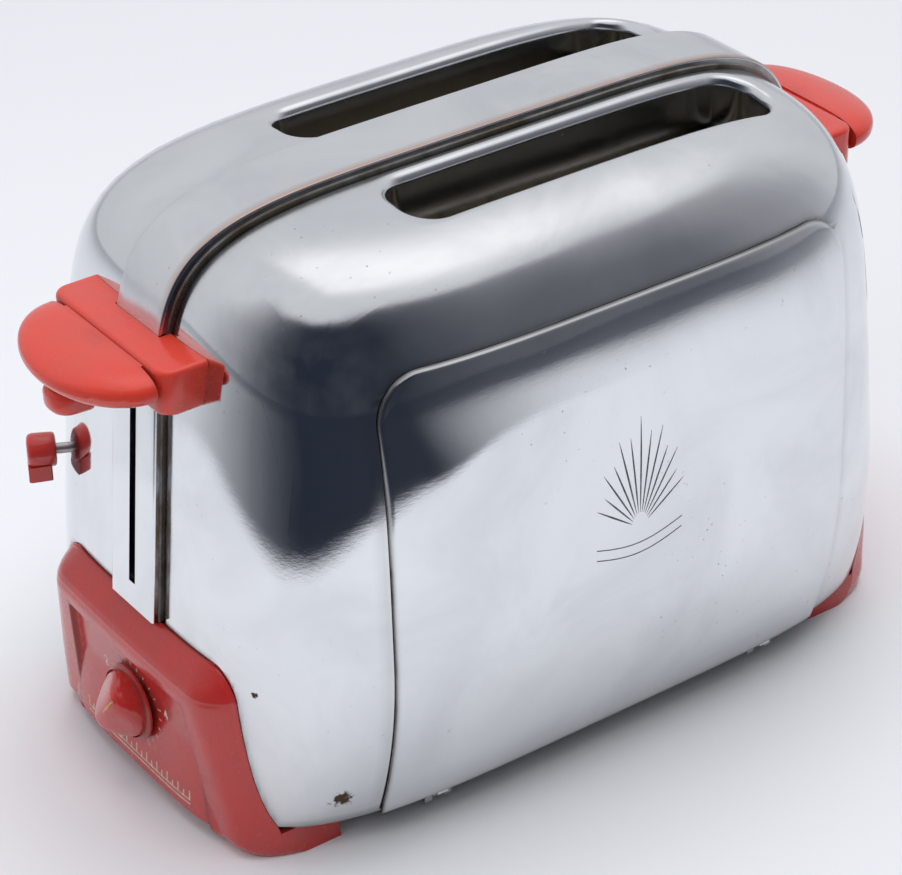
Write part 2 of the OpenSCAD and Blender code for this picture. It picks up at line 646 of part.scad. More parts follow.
// colour dial, its shaft and cam, and the blade that it bends
shaft_r = 3;
dial_back = 121.2;
dial_face = 131;
shaft_in = 98;
cam_r = 8;
bracket_x = -106;
module along_x(x, z) { translate([x, 0, z]) rotate([0, 90, 0]) children(); }
module dial_knob() {
    scoop = 14;
    color("firebrick") difference() {
        union() {
            along_x(-dial_back - 1.4, dial_z) cylinder(r = dial_r + 1.2, h = 1.4);
            along_x(-dial_face + 1.4, dial_z) cylinder(r = dial_r, h = dial_face - dial_back - 2.4);
            along_x(-dial_face, dial_z) cylinder(r1 = dial_r - 1.4, r2 = dial_r, h = 1.4);
        }
        for (q = [-1, 1]) translate([-dial_face - 4.5, 0, dial_z]) rotate([45, 0, 0])
            translate([0, q * (scoop + 1.2), 0]) cylinder(r = scoop * 0.72, h = 40, center = true);
        along_x(-dial_back - 6, dial_z) cylinder(r = shaft_r, h = 10);
    }
}
module dial_shaft() {
    color("silver") {
        along_x(-dial_back - 6, dial_z) cylinder(r = shaft_r, h = dial_back + 6 - shaft_in);
        along_x(-shaft_in - 2, dial_z) translate([1.5, 0, 0]) cylinder(r = cam_r, h = 2);
    }
}
module dial_bracket() {
    color("slategray") difference() {
        translate([bracket_x, -10, pan_top]) cube([1.6, 20, dial_z + 7 - pan_top]);
        along_x(bracket_x - 1, dial_z) cylinder(r = shaft_r + slide, h = 5);
    }
}
module bimetal_strip() {
    color("goldenrod") translate([-shaft_in + fit, -6, pan_top]) cube([0.8, 12, 34]);
}

// latch that holds the carriage down, and the coil that lets it go
latch_x = -63;
latch_z = 34;
latch_pin_r = 1.5;
latch_y = 8;
module latch_hook() {
    color("slategray") difference() {
        union() {
            translate([latch_x, 0, latch_z]) rotate([90, 0, 0]) cylinder(r = 4, h = 2.4, center = true);
            translate([latch_x - 1.6, -1.2, latch_z]) cube([3.6, 2.4, 15]);
            translate([latch_x - 2.4, -1.2, latch_z + 13.5]) cube([3, 2.4, 3]);
        }
        translate([latch_x, 0, latch_z]) rotate([90, 0, 0])
            cylinder(r = latch_pin_r + slide, h = 10, center = true);
    }
}
module latch_pin() {
    color("silver") {
        translate([latch_x, 0, latch_z]) rotate([90, 0, 0])
            cylinder(r = latch_pin_r, h = 2 * latch_y, center = true);
        for (q = [-1, 1]) translate([latch_x - 3, q * (latch_y + 0.8) - 0.8, pan_top])
            cube([6, 1.6, latch_z + 4 - pan_top]);
    }
}
module latch_coil() {
    color("darkgoldenrod") translate([-72, 28, pan_top]) {
        cylinder(r = 9, h = 2);
        cylinder(r = 7.5, h = 22);
        translate([0, 0, 22]) cylinder(r = 9, h = 2);
    }
}
module switch_block() {
    color("saddlebrown") translate([-86, -38, pan_top]) {
        cube([20, 16, 14]);
        translate([3, 3, 14]) cube([14, 2, 4]);
        translate([3, 11, 14]) cube([14, 2, 4]);
    }
}
module terminal_block() {
    color("ivory") translate([rear_x + 9, -20, pan_top]) difference() {
        cube([9, 40, 12]);
        for (i = [0:2]) translate([4.5, 8 + 12 * i, 6]) cylinder(r = 2, h = 10);
    }
}
module bus_bars() {
    color("goldenrod") for (q = [-1, 1]) translate([-82, q * bus_y - bus_t / 2, pan_top])
        cube([rear_x + 90, bus_t, bus_h]);
}

// release button on its stem, square to the rounded corner of the far shell
stem_r = 1.6;
release_turn = 26;
button_r = 5.2;
button_low = 3.4;
button_len = 10;
guide_len = 7;
module release_axis() {
    translate([-end_x(release_y, release_z, 0), release_y, release_z])
        rotate([0, 0, 180 - release_turn]) rotate([0, 90, 0]) children();
}
module release_button() {
    color("firebrick") release_axis() difference() {
        union() {
            translate([0, 0, button_low]) cylinder(r = button_r, h = button_len);
            hull() {
                translate([3.5, -4.3, button_low + 1.4]) cube([1, 8.6, button_len - 2]);
                translate([9.4, -5, button_low + 2]) cube([1, 10, button_len - 3.5]);
            }
        }
        translate([0, 0, button_low - 1]) cylinder(r = stem_r, h = 8);
    }
}
module release_stem() {
    color("silver") release_axis() translate([0, 0, -guide_len - 6])
        cylinder(r = stem_r, h = guide_len + 6 + button_low + 7);
}
module release_guide() {
    color("slategray") release_axis() translate([0, 0, -wall - 1.3 - guide_len]) difference() {
        cylinder(r = 4, h = guide_len);
        translate([0, 0, -1]) cylinder(r = stem_r + slide, h = guide_len + 2);
    }
}

// bush that lines the cord's hole
cord_z = 26;
bush_r = 6;
module cord_bush() {
    x = base_front(0, cord_z);
    color("black") difference() {
        union() {
            translate([half_len(cord_z, fit) - 3, 0, cord_z]) rotate([0, 90, 0])
                cylinder(r = bush_r, h = x - half_len(cord_z, fit) + 4.3);
            translate([x + 1.2, 0, cord_z]) rotate([0, 90, 0]) cylinder(r1 = 8, r2 = 6.8, h = 3);
        }
        translate([100, 0, cord_z]) rotate([0, 90, 0]) cylinder(r = cord_r, h = 40);
    }
}

base_pan();
front_frame();
rear_frame();
near_shell();
far_shell();
centre_band();
band_rib();
near_drop_door();
far_drop_door();
near_hinge_pins();
far_hinge_pins();
near_door_catches();
far_door_catches();
front_handle();
rear_handle();
handle_screws();
front_base_end();
rear_base_end();
base_screws();
carriage();
near_bread_rack();
far_bread_rack();
lever_knob();
guide_rod();
carriage_spring();
near_outer_heater();
centre_heater();
far_outer_heater();
near_guard_grids();
far_guard_grids();
dial_knob();
dial_shaft();
dial_bracket();
bimetal_strip();
latch_hook();
latch_pin();
latch_coil();
release_button();
release_stem();
release_guide();
switch_block();
terminal_block();
bus_bars();
cord_bush();
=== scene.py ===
"""Drop side toaster: fine surfaces, finishes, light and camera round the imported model."""
import math
import bpy
import numpy as np
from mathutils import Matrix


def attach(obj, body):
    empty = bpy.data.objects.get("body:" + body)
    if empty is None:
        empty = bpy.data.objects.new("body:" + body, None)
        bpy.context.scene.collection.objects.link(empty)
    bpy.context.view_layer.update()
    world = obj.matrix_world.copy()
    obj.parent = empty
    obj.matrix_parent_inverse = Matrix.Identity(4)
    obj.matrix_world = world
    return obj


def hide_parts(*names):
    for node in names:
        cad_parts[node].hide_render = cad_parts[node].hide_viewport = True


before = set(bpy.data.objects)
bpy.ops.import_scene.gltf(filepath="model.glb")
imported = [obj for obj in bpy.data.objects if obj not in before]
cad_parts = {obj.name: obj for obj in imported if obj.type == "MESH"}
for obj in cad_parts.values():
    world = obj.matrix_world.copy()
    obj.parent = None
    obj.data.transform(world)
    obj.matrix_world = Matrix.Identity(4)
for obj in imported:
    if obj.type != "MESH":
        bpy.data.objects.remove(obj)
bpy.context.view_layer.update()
MM = 0.001

# ---- sizes in millimetres, as in the part's source ----
BODY_LEN, BODY_WID, BODY_TOP, RIM_Z, WALL = 240.0, 155.0, 177.5, 11.0, 1.2
END_Z, FLANK_Z, END_POW, FLANK_POW, PLAN_POW, CROWN_POW = 110.0, 65.5, 5.3, 4.25, 4.3, 3.8
END_LEAN, TUCK = 0.085, 10.3
SLOT_LEN, SLOT_WID, SLOT_X, SLOT_Y, SLOT_R, SLOT_LIP, LIP_R = 125.6, 21.6, 18.4, 28.0, 8.8, 18.0, 3.0
BAND_WID, BAND_PROUD, BAND_FOOT, EDGE_Y = 22.4, 3.1, 61.0, 12.2
DOOR_WID, DOOR_TOP, DOOR_R, DOOR_WALL, DOOR_LOW, FIT = 160.0, 152.0, 14.0, 1.2, 9.5, 0.3
OPEN_X, OPEN_LOW, OPEN_TOP = 74.0, 22.0, 146.0
HINGE_X, HINGE_Y, HINGE_Z = 60.0, 62.0, 8.0
HANDLE_TOP, HANDLE_H, HANDLE_HW, HANDLE_REACH, BLOCK_REACH = 150.5, 13.5, 29.5, 142.5, 120.5
DIAL_Z, DIAL_R, DIAL_BACK, DIAL_FACE = 29.0, 10.5, 121.2, 131.0
RIDGE_Z, LOW_REACH, REACH, BASE_TOP, ARCH_Z, FOOT_TOP, FOOT_BACK = 52.0, 118.0, 124.0, 60.5, 6.0, 8.3, 88.0
PANEL_TOP, PANEL_V, BEVEL_V, SUNK, BASE_CORNER, FOOT_CORNER = 46.5, 0.66, 0.74, 2.0, 9.0, 6.0


def mix(a, b, t):
    return a + (b - a) * t


def smooth(t):
    t = np.clip(t, 0, 1)
    return t * t * (3 - 2 * t)


def plan(z):
    return PLAN_POW + (CROWN_POW - PLAN_POW) * np.clip((z - FLANK_Z) / (BODY_TOP - FLANK_Z), 0, 1)


def half_len(z, o=0.0):
    """Half length at height z: a straight lean, closed towards the top by a superellipse."""
    u = np.clip((z - END_Z) / (BODY_TOP + o - END_Z), 0, 1)
    return (BODY_LEN / 2 + o - END_LEAN * (z - RIM_Z)) * (1 - u ** END_POW) ** (1 / END_POW)


def half_wid(z, o=0.0):
    """Half width at height z: a superellipse above the widest line and a parabola below it."""
    u = np.clip((z - FLANK_Z) / (BODY_TOP + o - FLANK_Z), 0, 1)
    low = np.maximum(0, (FLANK_Z - z) / (FLANK_Z - RIM_Z))
    return (BODY_WID / 2 + o) * (1 - u ** FLANK_POW) ** (1 / FLANK_POW) - TUCK * low * low


def flank_y(x, z, o=0.0):
    """y of the side at x, z: the superellipse |x/a|^p + |y/b|^p = 1 solved for y."""
    p = plan(z)
    a = np.maximum(half_len(z, o), 1e-6)
    return half_wid(z, o) * np.maximum(0, 1 - (np.abs(x) / a) ** p) ** (1 / p)


def end_x(y, z, o=0.0):
    """x of the end at y, z: the same superellipse solved for x."""
    p = plan(z)
    b = np.maximum(half_wid(z, o), 1e-6)
    return half_len(z, o) * np.maximum(0, 1 - (np.abs(y) / b) ** p) ** (1 / p)


def top_z(x, y, o=0.0):
    """Height of the surface above x, y, by halving the interval where the plan curve holds the point."""
    x, y, o = np.broadcast_arrays(np.asarray(x, float), np.asarray(y, float), np.asarray(o, float))
    lo, hi = np.full(x.shape, 60.0), BODY_TOP + o
    for _ in range(40):
        m = (lo + hi) / 2
        a, b, p = np.maximum(half_len(m, o), 1e-9), np.maximum(half_wid(m, o), 1e-9), plan(m)
        held = (np.abs(x) / a) ** p + (np.abs(y) / b) ** p < 1
        lo, hi = np.where(held, m, lo), np.where(held, hi, m)
    return (lo + hi) / 2


def round_in(r, t):
    """How far a quarter circle of radius r has turned in after t."""
    return r - np.sqrt(np.maximum(0, r * r - np.clip(t, 0, r) ** 2))


def base_hw(z):
    return mix(56.0, 44.0, z / BASE_TOP) - round_in(BASE_CORNER, z - BASE_TOP + BASE_CORNER)


# ---- meshes ----
def signed_volume(v, quads):
    a, b, c, d = (v[quads[:, k]] for k in range(4))
    return (np.einsum("ij,ij->", a, np.cross(b, c)) + np.einsum("ij,ij->", a, np.cross(c, d))) / 6


def make_piece(name, verts, faces, body, replaced=(), mats=(), sharp=35, face_mats=None,
               marks=None, smooth_on=True):
    """A mesh object in metres from points in millimetres, riding on a body."""
    me = bpy.data.meshes.new(name)
    me.from_pydata((np.asarray(verts, float) * MM).tolist(), [], [list(map(int, f)) for f in faces]
                   if not isinstance(faces, np.ndarray) else faces.tolist())
    ob = bpy.data.objects.new(name, me)
    bpy.context.collection.objects.link(ob)
    for m in mats:
        me.materials.append(m)
    if face_mats is not None:
        me.polygons.foreach_set("material_index", np.asarray(face_mats, np.int32))
    for key, values in (marks or {}).items():
        at = me.attributes.new(key, "FLOAT", "POINT")
        at.data.foreach_set("value", np.asarray(values, np.float32).ravel())
    me.polygons.foreach_set("use_smooth", np.full(len(me.polygons), smooth_on))
    me.update()
    me.validate(clean_customdata=False)
    if smooth_on and sharp < 180:
        me.set_sharp_from_angle(angle=math.radians(sharp))
    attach(ob, body)
    if replaced:
        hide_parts(*replaced)
    return ob


def sheet_faces(a, b, on=None, wrap=False):
    """Closed sheet between point grids a and b: both skins, and a wall wherever a shown cell ends."""
    rows, n = a.shape[0] - 1, a.shape[1]
    cols = n if wrap else n - 1
    on = np.ones((rows, cols), bool) if on is None else on
    idx = np.arange(a.shape[0] * n).reshape(a.shape[0], n)
    nxt = np.roll(idx, -1, 1)
    p00, p01, p10, p11 = (g[:, :cols] for g in (idx[:-1], nxt[:-1], idx[1:], nxt[1:]))
    off = a.shape[0] * n
    quads = [np.stack([p00, p01, p11, p10], -1)[on], np.stack([p00, p10, p11, p01], -1)[on] + off]
    kind = [np.zeros(on.sum(), int), np.ones(on.sum(), int)]

    def wall(sel, u, w):
        quads.append(np.stack([u[sel], u[sel] + off, w[sel] + off, w[sel]], -1))
        kind.append(np.full(sel.sum(), 2))
    pad = np.zeros((1, cols), bool)
    wall(on & ~np.vstack([pad, on[:-1]]), p00, p01)
    wall(on & ~np.vstack([on[1:], pad]), p11, p10)
    side = np.zeros((rows, 1), bool)
    left = np.roll(on, 1, 1) if wrap else np.hstack([side, on[:, :-1]])
    right = np.roll(on, -1, 1) if wrap else np.hstack([on[:, 1:], side])
    wall(on & ~left, p10, p00)
    wall(on & ~right, p01, p11)
    v = np.vstack([a.reshape(-1, 3), b.reshape(-1, 3)])
    q = np.vstack(quads)
    if signed_volume(v, q) < 0:
        q = q[:, ::-1]
    return v, q, np.concatenate(kind)


def used_only(v, q, marks=None):
    """Drops points that no face uses."""
    ids, inv = np.unique(q, return_inverse=True)
    return v[ids], inv.reshape(q.shape), {k: m[ids] for k, m in (marks or {}).items()}


def mirrored(v, q, axis):
    """The mesh mirrored across the plane square to an axis, with its faces turned back outwards."""
    v = v.copy()
    v[:, axis] *= -1
    return v, q[:, ::-1]


# ---- shaders ----
class Num:
    """A shader socket whose arithmetic adds Math nodes."""

    def __init__(self, shop, sock):
        self.shop, self.sock = shop, sock

    def __add__(self, o): return self.shop.math("ADD", self, o)
    def __radd__(self, o): return self.shop.math("ADD", o, self)
    def __sub__(self, o): return self.shop.math("SUBTRACT", self, o)
    def __rsub__(self, o): return self.shop.math("SUBTRACT", o, self)
    def __mul__(self, o): return self.shop.math("MULTIPLY", self, o)
    def __rmul__(self, o): return self.shop.math("MULTIPLY", o, self)
    def __truediv__(self, o): return self.shop.math("DIVIDE", self, o)
    def __pow__(self, o): return self.shop.math("POWER", self, o)


class Shop:
    """Node builder for one material or world."""

    def __init__(self, tree):
        self.tree = tree
        tree.nodes.clear()

    def node(self, kind, settings=None, **inputs):
        n = self.tree.nodes.new(kind)
        for k, v in (settings or {}).items():
            setattr(n, k, v)
        for k, v in inputs.items():
            self.feed(n.inputs[k.replace("_", " ")] if not k[0] == "i" or not k[1:].isdigit()
                      else n.inputs[int(k[1:])], v)
        return n

    def feed(self, sock, v):
        if isinstance(v, Num):
            v = v.sock
        if isinstance(v, bpy.types.NodeSocket):
            self.tree.links.new(v, sock)
        else:
            sock.default_value = v

    def math(self, op, a, b=0.0, c=None, clamp=False):
        n = self.node("ShaderNodeMath", {"operation": op, "use_clamp": clamp}, i0=a, i1=b)
        if c is not None:
            self.feed(n.inputs[2], c)
        return Num(self, n.outputs[0])

    def clip(self, a):
        return self.math("ADD", a, 0.0, clamp=True)

    def ramp(self, x, lo, hi):
        """0 below lo, 1 above hi, eased between."""
        n = self.node("ShaderNodeMapRange", {"interpolation_type": "SMOOTHSTEP"}, i0=x, i1=lo, i2=hi)
        return Num(self, n.outputs[0])

    def place(self):
        """Object coordinates in millimetres."""
        t = self.node("ShaderNodeTexCoord").outputs["Object"]
        return self.node("ShaderNodeVectorMath", {"operation": "SCALE"}, i0=t, i3=1000.0).outputs[0]

    def parts(self, vec):
        s = self.node("ShaderNodeSeparateXYZ", None, i0=vec)
        return [Num(self, s.outputs[k]) for k in range(3)]

    def noise(self, at, scale, detail=3.0, rough=0.5, stretch=None, warp=0.0):
        if stretch:
            at = self.node("ShaderNodeMapping", None, Vector=at, Scale=stretch).outputs[0]
        n = self.node("ShaderNodeTexNoise", None, Vector=at, Scale=scale, Detail=detail,
                      Roughness=rough, Distortion=warp)
        return Num(self, n.outputs[0])

    def mark(self, name):
        return Num(self, self.node("ShaderNodeAttribute", {"attribute_name": name}).outputs["Fac"])

    def blend(self, f, a, b):
        n = self.node("ShaderNodeMix", {"data_type": "RGBA"}, i0=f, i6=a, i7=b)
        return n.outputs[2]

    def near(self, at, centre, radius, soft=0.5, wobble=None):
        """1 inside a ball round a point, falling to 0 over its outer part."""
        d = Num(self, self.node("ShaderNodeVectorMath", {"operation": "DISTANCE"}, i0=at, i1=centre).outputs[1])
        if wobble is not None:
            d = d + (wobble - 0.5) * (radius * 1.6)
        return 1 - self.ramp(d, radius * (1 - soft), radius)

    def bump(self, height, strength, distance, normal=None):
        n = self.node("ShaderNodeBump", None, Strength=strength, Distance=distance, Height=height)
        if normal is not None:
            self.feed(n.inputs["Normal"], normal)
        return n.outputs[0]


def finish_of(name, build, **fixed):
    """A material whose build(shop, place) gives the values of the Principled sockets."""
    m = bpy.data.materials.new(name)
    m.use_nodes = True
    shop = Shop(m.node_tree)
    p = shop.node("ShaderNodeBsdfPrincipled")
    for k, v in fixed.items():
        p.inputs[k.replace("_", " ")].default_value = v
    for k, v in build(shop, shop.place()).items():
        shop.feed(p.inputs[k.replace("_", " ")], v)
    out = shop.node("ShaderNodeOutputMaterial")
    m.node_tree.links.new(p.outputs[0], out.inputs[0])
    return m


def rgb(r, g, b):
    """Linear colour from the 0-255 values of a picture."""
    return tuple(((c / 255 + 0.055) / 1.055) ** 2.4 if c > 10 else c / 255 / 12.92 for c in (r, g, b)) + (1.0,)


CHROME = (0.80, 0.815, 0.83, 1)
GRIME = (0.045, 0.032, 0.022, 1)


def chrome_build(spots=(), dull_from=150.0, satin=0.0, copper=False):
    """Old chrome: clear flanks, duller upper surfaces, smears, fine scratches, pits and dirt in the seams."""
    def build(s, at):
        x, y, z = s.parts(at)
        cloud = s.noise(at, 0.022, 4, 0.62, warp=0.8)
        streak = s.noise(at, 0.05, 5, 0.65, (0.25, 1.0, 1.4))
        fine = s.noise(at, 1.1, 4, 0.7, (0.16, 1.0, 1.0))
        pits = s.ramp(s.noise(at, 0.55, 2, 0.5), 0.70, 0.76)
        where = s.ramp(s.noise(at, 0.016, 2, 0.5), 0.48, 0.66)
        upper = s.ramp(z, dull_from, dull_from + 22.0)
        dirt = s.clip(s.mark("dirt") * (0.55 + 0.9 * streak))
        rough = 0.035 + 0.035 * s.ramp(cloud, 0.42, 0.7) + 0.03 * s.ramp(streak, 0.5, 0.8)
        rough = rough + upper * (0.10 + 0.07 * fine) + pits * where * 0.25 + satin
        rough = s.clip(rough + dirt * 0.4)
        col = s.blend(s.ramp(cloud, 0.3, 0.75), CHROME, (0.70, 0.715, 0.735, 1))
        col = s.blend(s.clip(pits * where * 0.45), col, (0.25, 0.22, 0.2, 1))
        if copper:
            worn = s.clip(s.mark("worn") * s.ramp(s.noise(at, 0.03, 4, 0.7, (1.0, 0.2, 0.2)), 0.22, 0.46))
            col = s.blend(worn, col, (0.50, 0.21, 0.085, 1))
        heat = s.clip(s.mark("heat") * (0.75 + 0.5 * s.noise(at, 0.06, 3, 0.6)))
        col = s.blend(heat, col, s.blend(s.ramp(cloud, 0.35, 0.65), (0.86, 0.79, 0.62, 1), (0.66, 0.57, 0.41, 1)))
        rust = s.clip(s.mark("heat") * s.ramp(s.noise(at, 0.30, 4, 0.7), 0.60, 0.68))
        col = s.blend(rust, col, (0.085, 0.032, 0.014, 1))
        rough = rough + heat * 0.16 + rust * 0.4
        for centre, radius in spots:
            hit = s.near(at, centre, radius, 0.35, s.noise(at, 0.45, 3, 0.6))
            col = s.blend(hit, col, (0.09, 0.055, 0.035, 1))
            rough = s.clip(rough + hit * 0.45)
        col = s.blend(s.clip(dirt), col, GRIME)
        wavy = s.noise(at, 0.018, 1, 0.4) + 0.005 * s.noise(at, 0.35, 2, 0.5)
        bump = s.bump(wavy, 0.30, 0.004)
        bump = s.bump(fine - pits * where * 1.5, 0.014, 0.0006, bump)
        return {"Base_Color": col, "Roughness": rough, "Normal": bump, "Metallic": s.clip(1 - heat * 0.8)}
    return build


def red_build(shade=(0.50, 0.020, 0.022, 1), worn=(0.40, 0.03, 0.03, 1)):
    """Moulded red plastic: faint mottling, slight wear and dirt along its edges."""
    def build(s, at):
        mott = s.noise(at, 0.05, 3, 0.6)
        wear = s.noise(at, 0.35, 4, 0.65)
        dirt = s.clip(s.mark("dirt") * (0.6 + 0.8 * s.noise(at, 0.2, 3, 0.6)))
        col = s.blend(s.ramp(mott, 0.35, 0.75), shade, worn)
        col = s.blend(dirt, col, (0.09, 0.012, 0.01, 1))
        rough = s.clip(0.20 + 0.08 * s.ramp(wear, 0.45, 0.75) + 0.05 * mott + 0.3 * dirt)
        peel = s.noise(at, 0.16, 1, 0.4)
        return {"Base_Color": col, "Roughness": rough, "Normal": s.bump(peel, 0.06, 0.0012)}
    return build


def metal_build(base, alt, rough=0.35, scale=0.12, grain=(0.15, 1, 1), depth=0.0004):
    """Plain inner metal: tint that wanders between two colours, and fine grain."""
    def build(s, at):
        tint = s.noise(at, scale, 4, 0.6)
        g = s.noise(at, 1.3, 3, 0.7, grain)
        return {"Base_Color": s.blend(s.ramp(tint, 0.35, 0.7), base, alt),
                "Roughness": s.clip(rough + 0.2 * (g - 0.5) + 0.15 * (tint - 0.5)),
                "Normal": s.bump(g, 0.25, depth)}
    return build


# ---- finishes ----
near_spots = [((-81.0, -55.0, 173.6), 0.0), ((-112.0, -52.0, 57.0), 1.6), ((-93.0, -66.2, 19.6), 4.2),
              ((-97.0, -65.0, 19.9), 2.2)]
near_chrome = finish_of("near_chrome", chrome_build([s for s in near_spots if s[1]]), Metallic=1.0)
far_chrome = finish_of("far_chrome", chrome_build(), Metallic=1.0)
door_chrome = finish_of("door_chrome", chrome_build(satin=0.015), Metallic=1.0)
band_chrome = finish_of("band_chrome", chrome_build(dull_from=90.0, satin=0.05, copper=True), Metallic=1.0)
red_moulding = finish_of("red_moulding", red_build((0.52, 0.026, 0.022, 1), (0.44, 0.034, 0.03, 1)),
                         Coat_Weight=0.4, Coat_Roughness=0.10)
red_handle = finish_of("red_handle", red_build((0.66, 0.045, 0.026, 1), (0.60, 0.055, 0.035, 1)),
                       Coat_Weight=0.35, Coat_Roughness=0.10)
steel_parts = finish_of("steel_parts", metal_build((0.5, 0.5, 0.49, 1), (0.32, 0.3, 0.27, 1)), Metallic=1.0)
rack_wire = finish_of("rack_wire", metal_build((0.32, 0.28, 0.22, 1), (0.15, 0.1, 0.07, 1), 0.42), Metallic=1.0)
inner_sheet = finish_of("inner_sheet", metal_build((0.42, 0.36, 0.25, 1), (0.2, 0.13, 0.07, 1), 0.38, 0.06),
                        Metallic=1.0)
pan_sheet = finish_of("pan_sheet", metal_build((0.36, 0.36, 0.36, 1), (0.25, 0.23, 0.2, 1), 0.45), Metallic=1.0)
mica = finish_of("mica", metal_build((0.42, 0.33, 0.22, 1), (0.25, 0.17, 0.1, 1), 0.6, 0.08), Metallic=0.0)
copper = finish_of("copper", metal_build((0.55, 0.26, 0.12, 1), (0.4, 0.15, 0.06, 1), 0.3, 0.3, (1, 1, 6)),
                   Metallic=1.0)
brass = finish_of("brass", metal_build((0.68, 0.5, 0.22, 1), (0.45, 0.3, 0.12, 1), 0.32), Metallic=1.0)
brown_block = finish_of("brown_block", metal_build((0.10, 0.045, 0.025, 1), (0.06, 0.03, 0.02, 1), 0.5),
                        Metallic=0.0)
white_block = finish_of("white_block", metal_build((0.75, 0.72, 0.65, 1), (0.62, 0.57, 0.48, 1), 0.45),
                        Metallic=0.0)
black_bush = finish_of("black_bush", metal_build((0.02, 0.02, 0.02, 1), (0.035, 0.032, 0.03, 1), 0.6),
                       Metallic=0.0)
cream_ink = finish_of("cream_ink", metal_build((0.74, 0.66, 0.52, 1), (0.55, 0.42, 0.33, 1), 0.5, 0.6),
                      Metallic=0.0)
engraved = finish_of("engraved", metal_build((0.16, 0.165, 0.18, 1), (0.08, 0.08, 0.085, 1), 0.45, 0.3), Metallic=1.0)
pointer_gold = finish_of("pointer_gold", metal_build((0.72, 0.45, 0.16, 1), (0.5, 0.25, 0.08, 1), 0.35, 0.5),
                         Metallic=0.6)


def ribbed(s, at):
    """Dull steel strip with fine upright ribs across its run, dirty and browned in patches, with painted shade in the
    grooves between the ribs.
    """
    run = s.mark("run")
    rib = s.math("ABSOLUTE", s.math("SINE", run * (math.pi / 0.62)), 0)
    dirt = s.noise(at, 0.08, 4, 0.65)
    brown = s.ramp(s.noise(at, 0.02, 3, 0.6), 0.5, 0.7)
    col = s.blend(s.ramp(dirt, 0.35, 0.7), (0.46, 0.45, 0.43, 1), (0.22, 0.19, 0.15, 1))
    col = s.blend(s.clip(brown * 0.6), col, (0.24, 0.16, 0.08, 1))
    # painted shade: darker in every groove between the ribs, following the rib profile
    col = s.blend(s.clip((1 - rib) * 0.5), col, (0.06, 0.05, 0.04, 1))
    return {"Base_Color": col, "Roughness": s.clip(0.34 + 0.2 * dirt), "Normal": s.bump(rib, 0.5, 0.0003)}


def band_side_finish(s, at):
    """Side of the band: smooth dark steel above, browned towards its foot."""
    x, y, z = s.parts(at)
    cloud = s.noise(at, 0.06, 4, 0.65)
    brown = s.clip((1 - s.ramp(z, 80.0, 150.0)) * s.ramp(cloud, 0.35, 0.6))
    col = s.blend(s.ramp(cloud, 0.35, 0.7), (0.40, 0.40, 0.41, 1), (0.24, 0.22, 0.20, 1))
    col = s.blend(s.clip(brown * 0.8), col, (0.12, 0.07, 0.035, 1))
    return {"Base_Color": col, "Roughness": s.clip(0.22 + 0.2 * cloud), "Normal": s.bump(cloud, 0.15, 0.0008)}


rib_steel = finish_of("rib_steel", ribbed, Metallic=0.9)
band_side = finish_of("band_side", band_side_finish, Metallic=1.0)


# ---- half shells ----
def slot_outline(g, s):
    """Point and place at distance s along the slot's outline, moved outwards by g."""
    a, b, q = SLOT_LEN / 2 - SLOT_R, SLOT_WID / 2 - SLOT_R, SLOT_R * math.pi / 2
    arcs = [(-1, -1, 225, 180), (-1, 1, 180, 90), (1, 1, 90, 0), (1, -1, 0, -90), (-1, -1, -90, -135)]
    px, py, nx, ny = [], [], [], []
    for sx, sy, a0, a1 in arcs:
        t = np.radians(np.linspace(a0, a1, 40))
        px.append(sx * a + SLOT_R * np.cos(t)), py.append(sy * b + SLOT_R * np.sin(t))
        nx.append(np.cos(t)), ny.append(np.sin(t))
    px, py, nx, ny = map(np.concatenate, (px, py, nx, ny))
    run = np.concatenate([[0], np.cumsum(np.hypot(np.diff(px), np.diff(py)))])
    s = s * run[-1] / (4 * q + 4 * a + 4 * b)
    f = [np.interp(s, run, k) for k in (px, py, nx, ny)]
    return SLOT_X + f[0] + g * f[2], SLOT_Y + f[1] + g * f[3]


E_N, S_N, KEEP, ARC_N = 36, 112, 8, 9
CROWN_X, CROWN_Y, RIM_X = 92.0, 56.0, 102.0
RIM_Y = RIM_X / BODY_LEN * BODY_WID - TUCK + 2.5


def shell_columns():
    """Places of the columns: along the front end, the flank, the rear end and back beside the band."""
    near = np.array([0, 0.12, 0.3, 0.55, 0.9, 1.4, 2.2]) / (CROWN_Y - EDGE_Y)
    ends = np.concatenate([near, mix(near[-1], 1, np.sin(np.radians(
        90 * np.arange(1, E_N + 1 - len(near) + 1) / (E_N + 1 - len(near)))))])
    side = -np.cos(np.radians(180 * np.arange(S_N + 1) / S_N))
    cx = np.concatenate([np.full(E_N, -CROWN_X), CROWN_X * side, np.full(E_N, CROWN_X), -CROWN_X * side[1:-1]])
    cy = np.concatenate([mix(EDGE_Y, CROWN_Y, ends[:-1]), np.full(S_N + 1, CROWN_Y),
                         mix(EDGE_Y, CROWN_Y, ends[:-1][::-1]), np.full(S_N - 1, EDGE_Y)])
    ry = mix(EDGE_Y, RIM_Y, ends[:-1])
    k = np.arange(S_N + 1)
    rx = np.interp(k, [0, KEEP, S_N - KEEP, S_N], [-RIM_X, -OPEN_X, OPEN_X, RIM_X])
    a, b, q = SLOT_LEN / 2 - SLOT_R, SLOT_WID / 2 - SLOT_R, SLOT_R * math.pi / 2
    keys = [0, E_N, E_N + ARC_N, E_N + S_N - ARC_N, E_N + S_N, 2 * E_N + S_N, 2 * E_N + S_N + ARC_N,
            2 * (E_N + S_N) - ARC_N, 2 * (E_N + S_N)]
    vals = np.cumsum([0, q + 2 * b, q / 2, 2 * a, q / 2, q + 2 * b, q / 2, 2 * a, q / 2])
    run = np.interp(np.arange(2 * (E_N + S_N)), keys, vals)
    return cx, cy, rx, ry, run


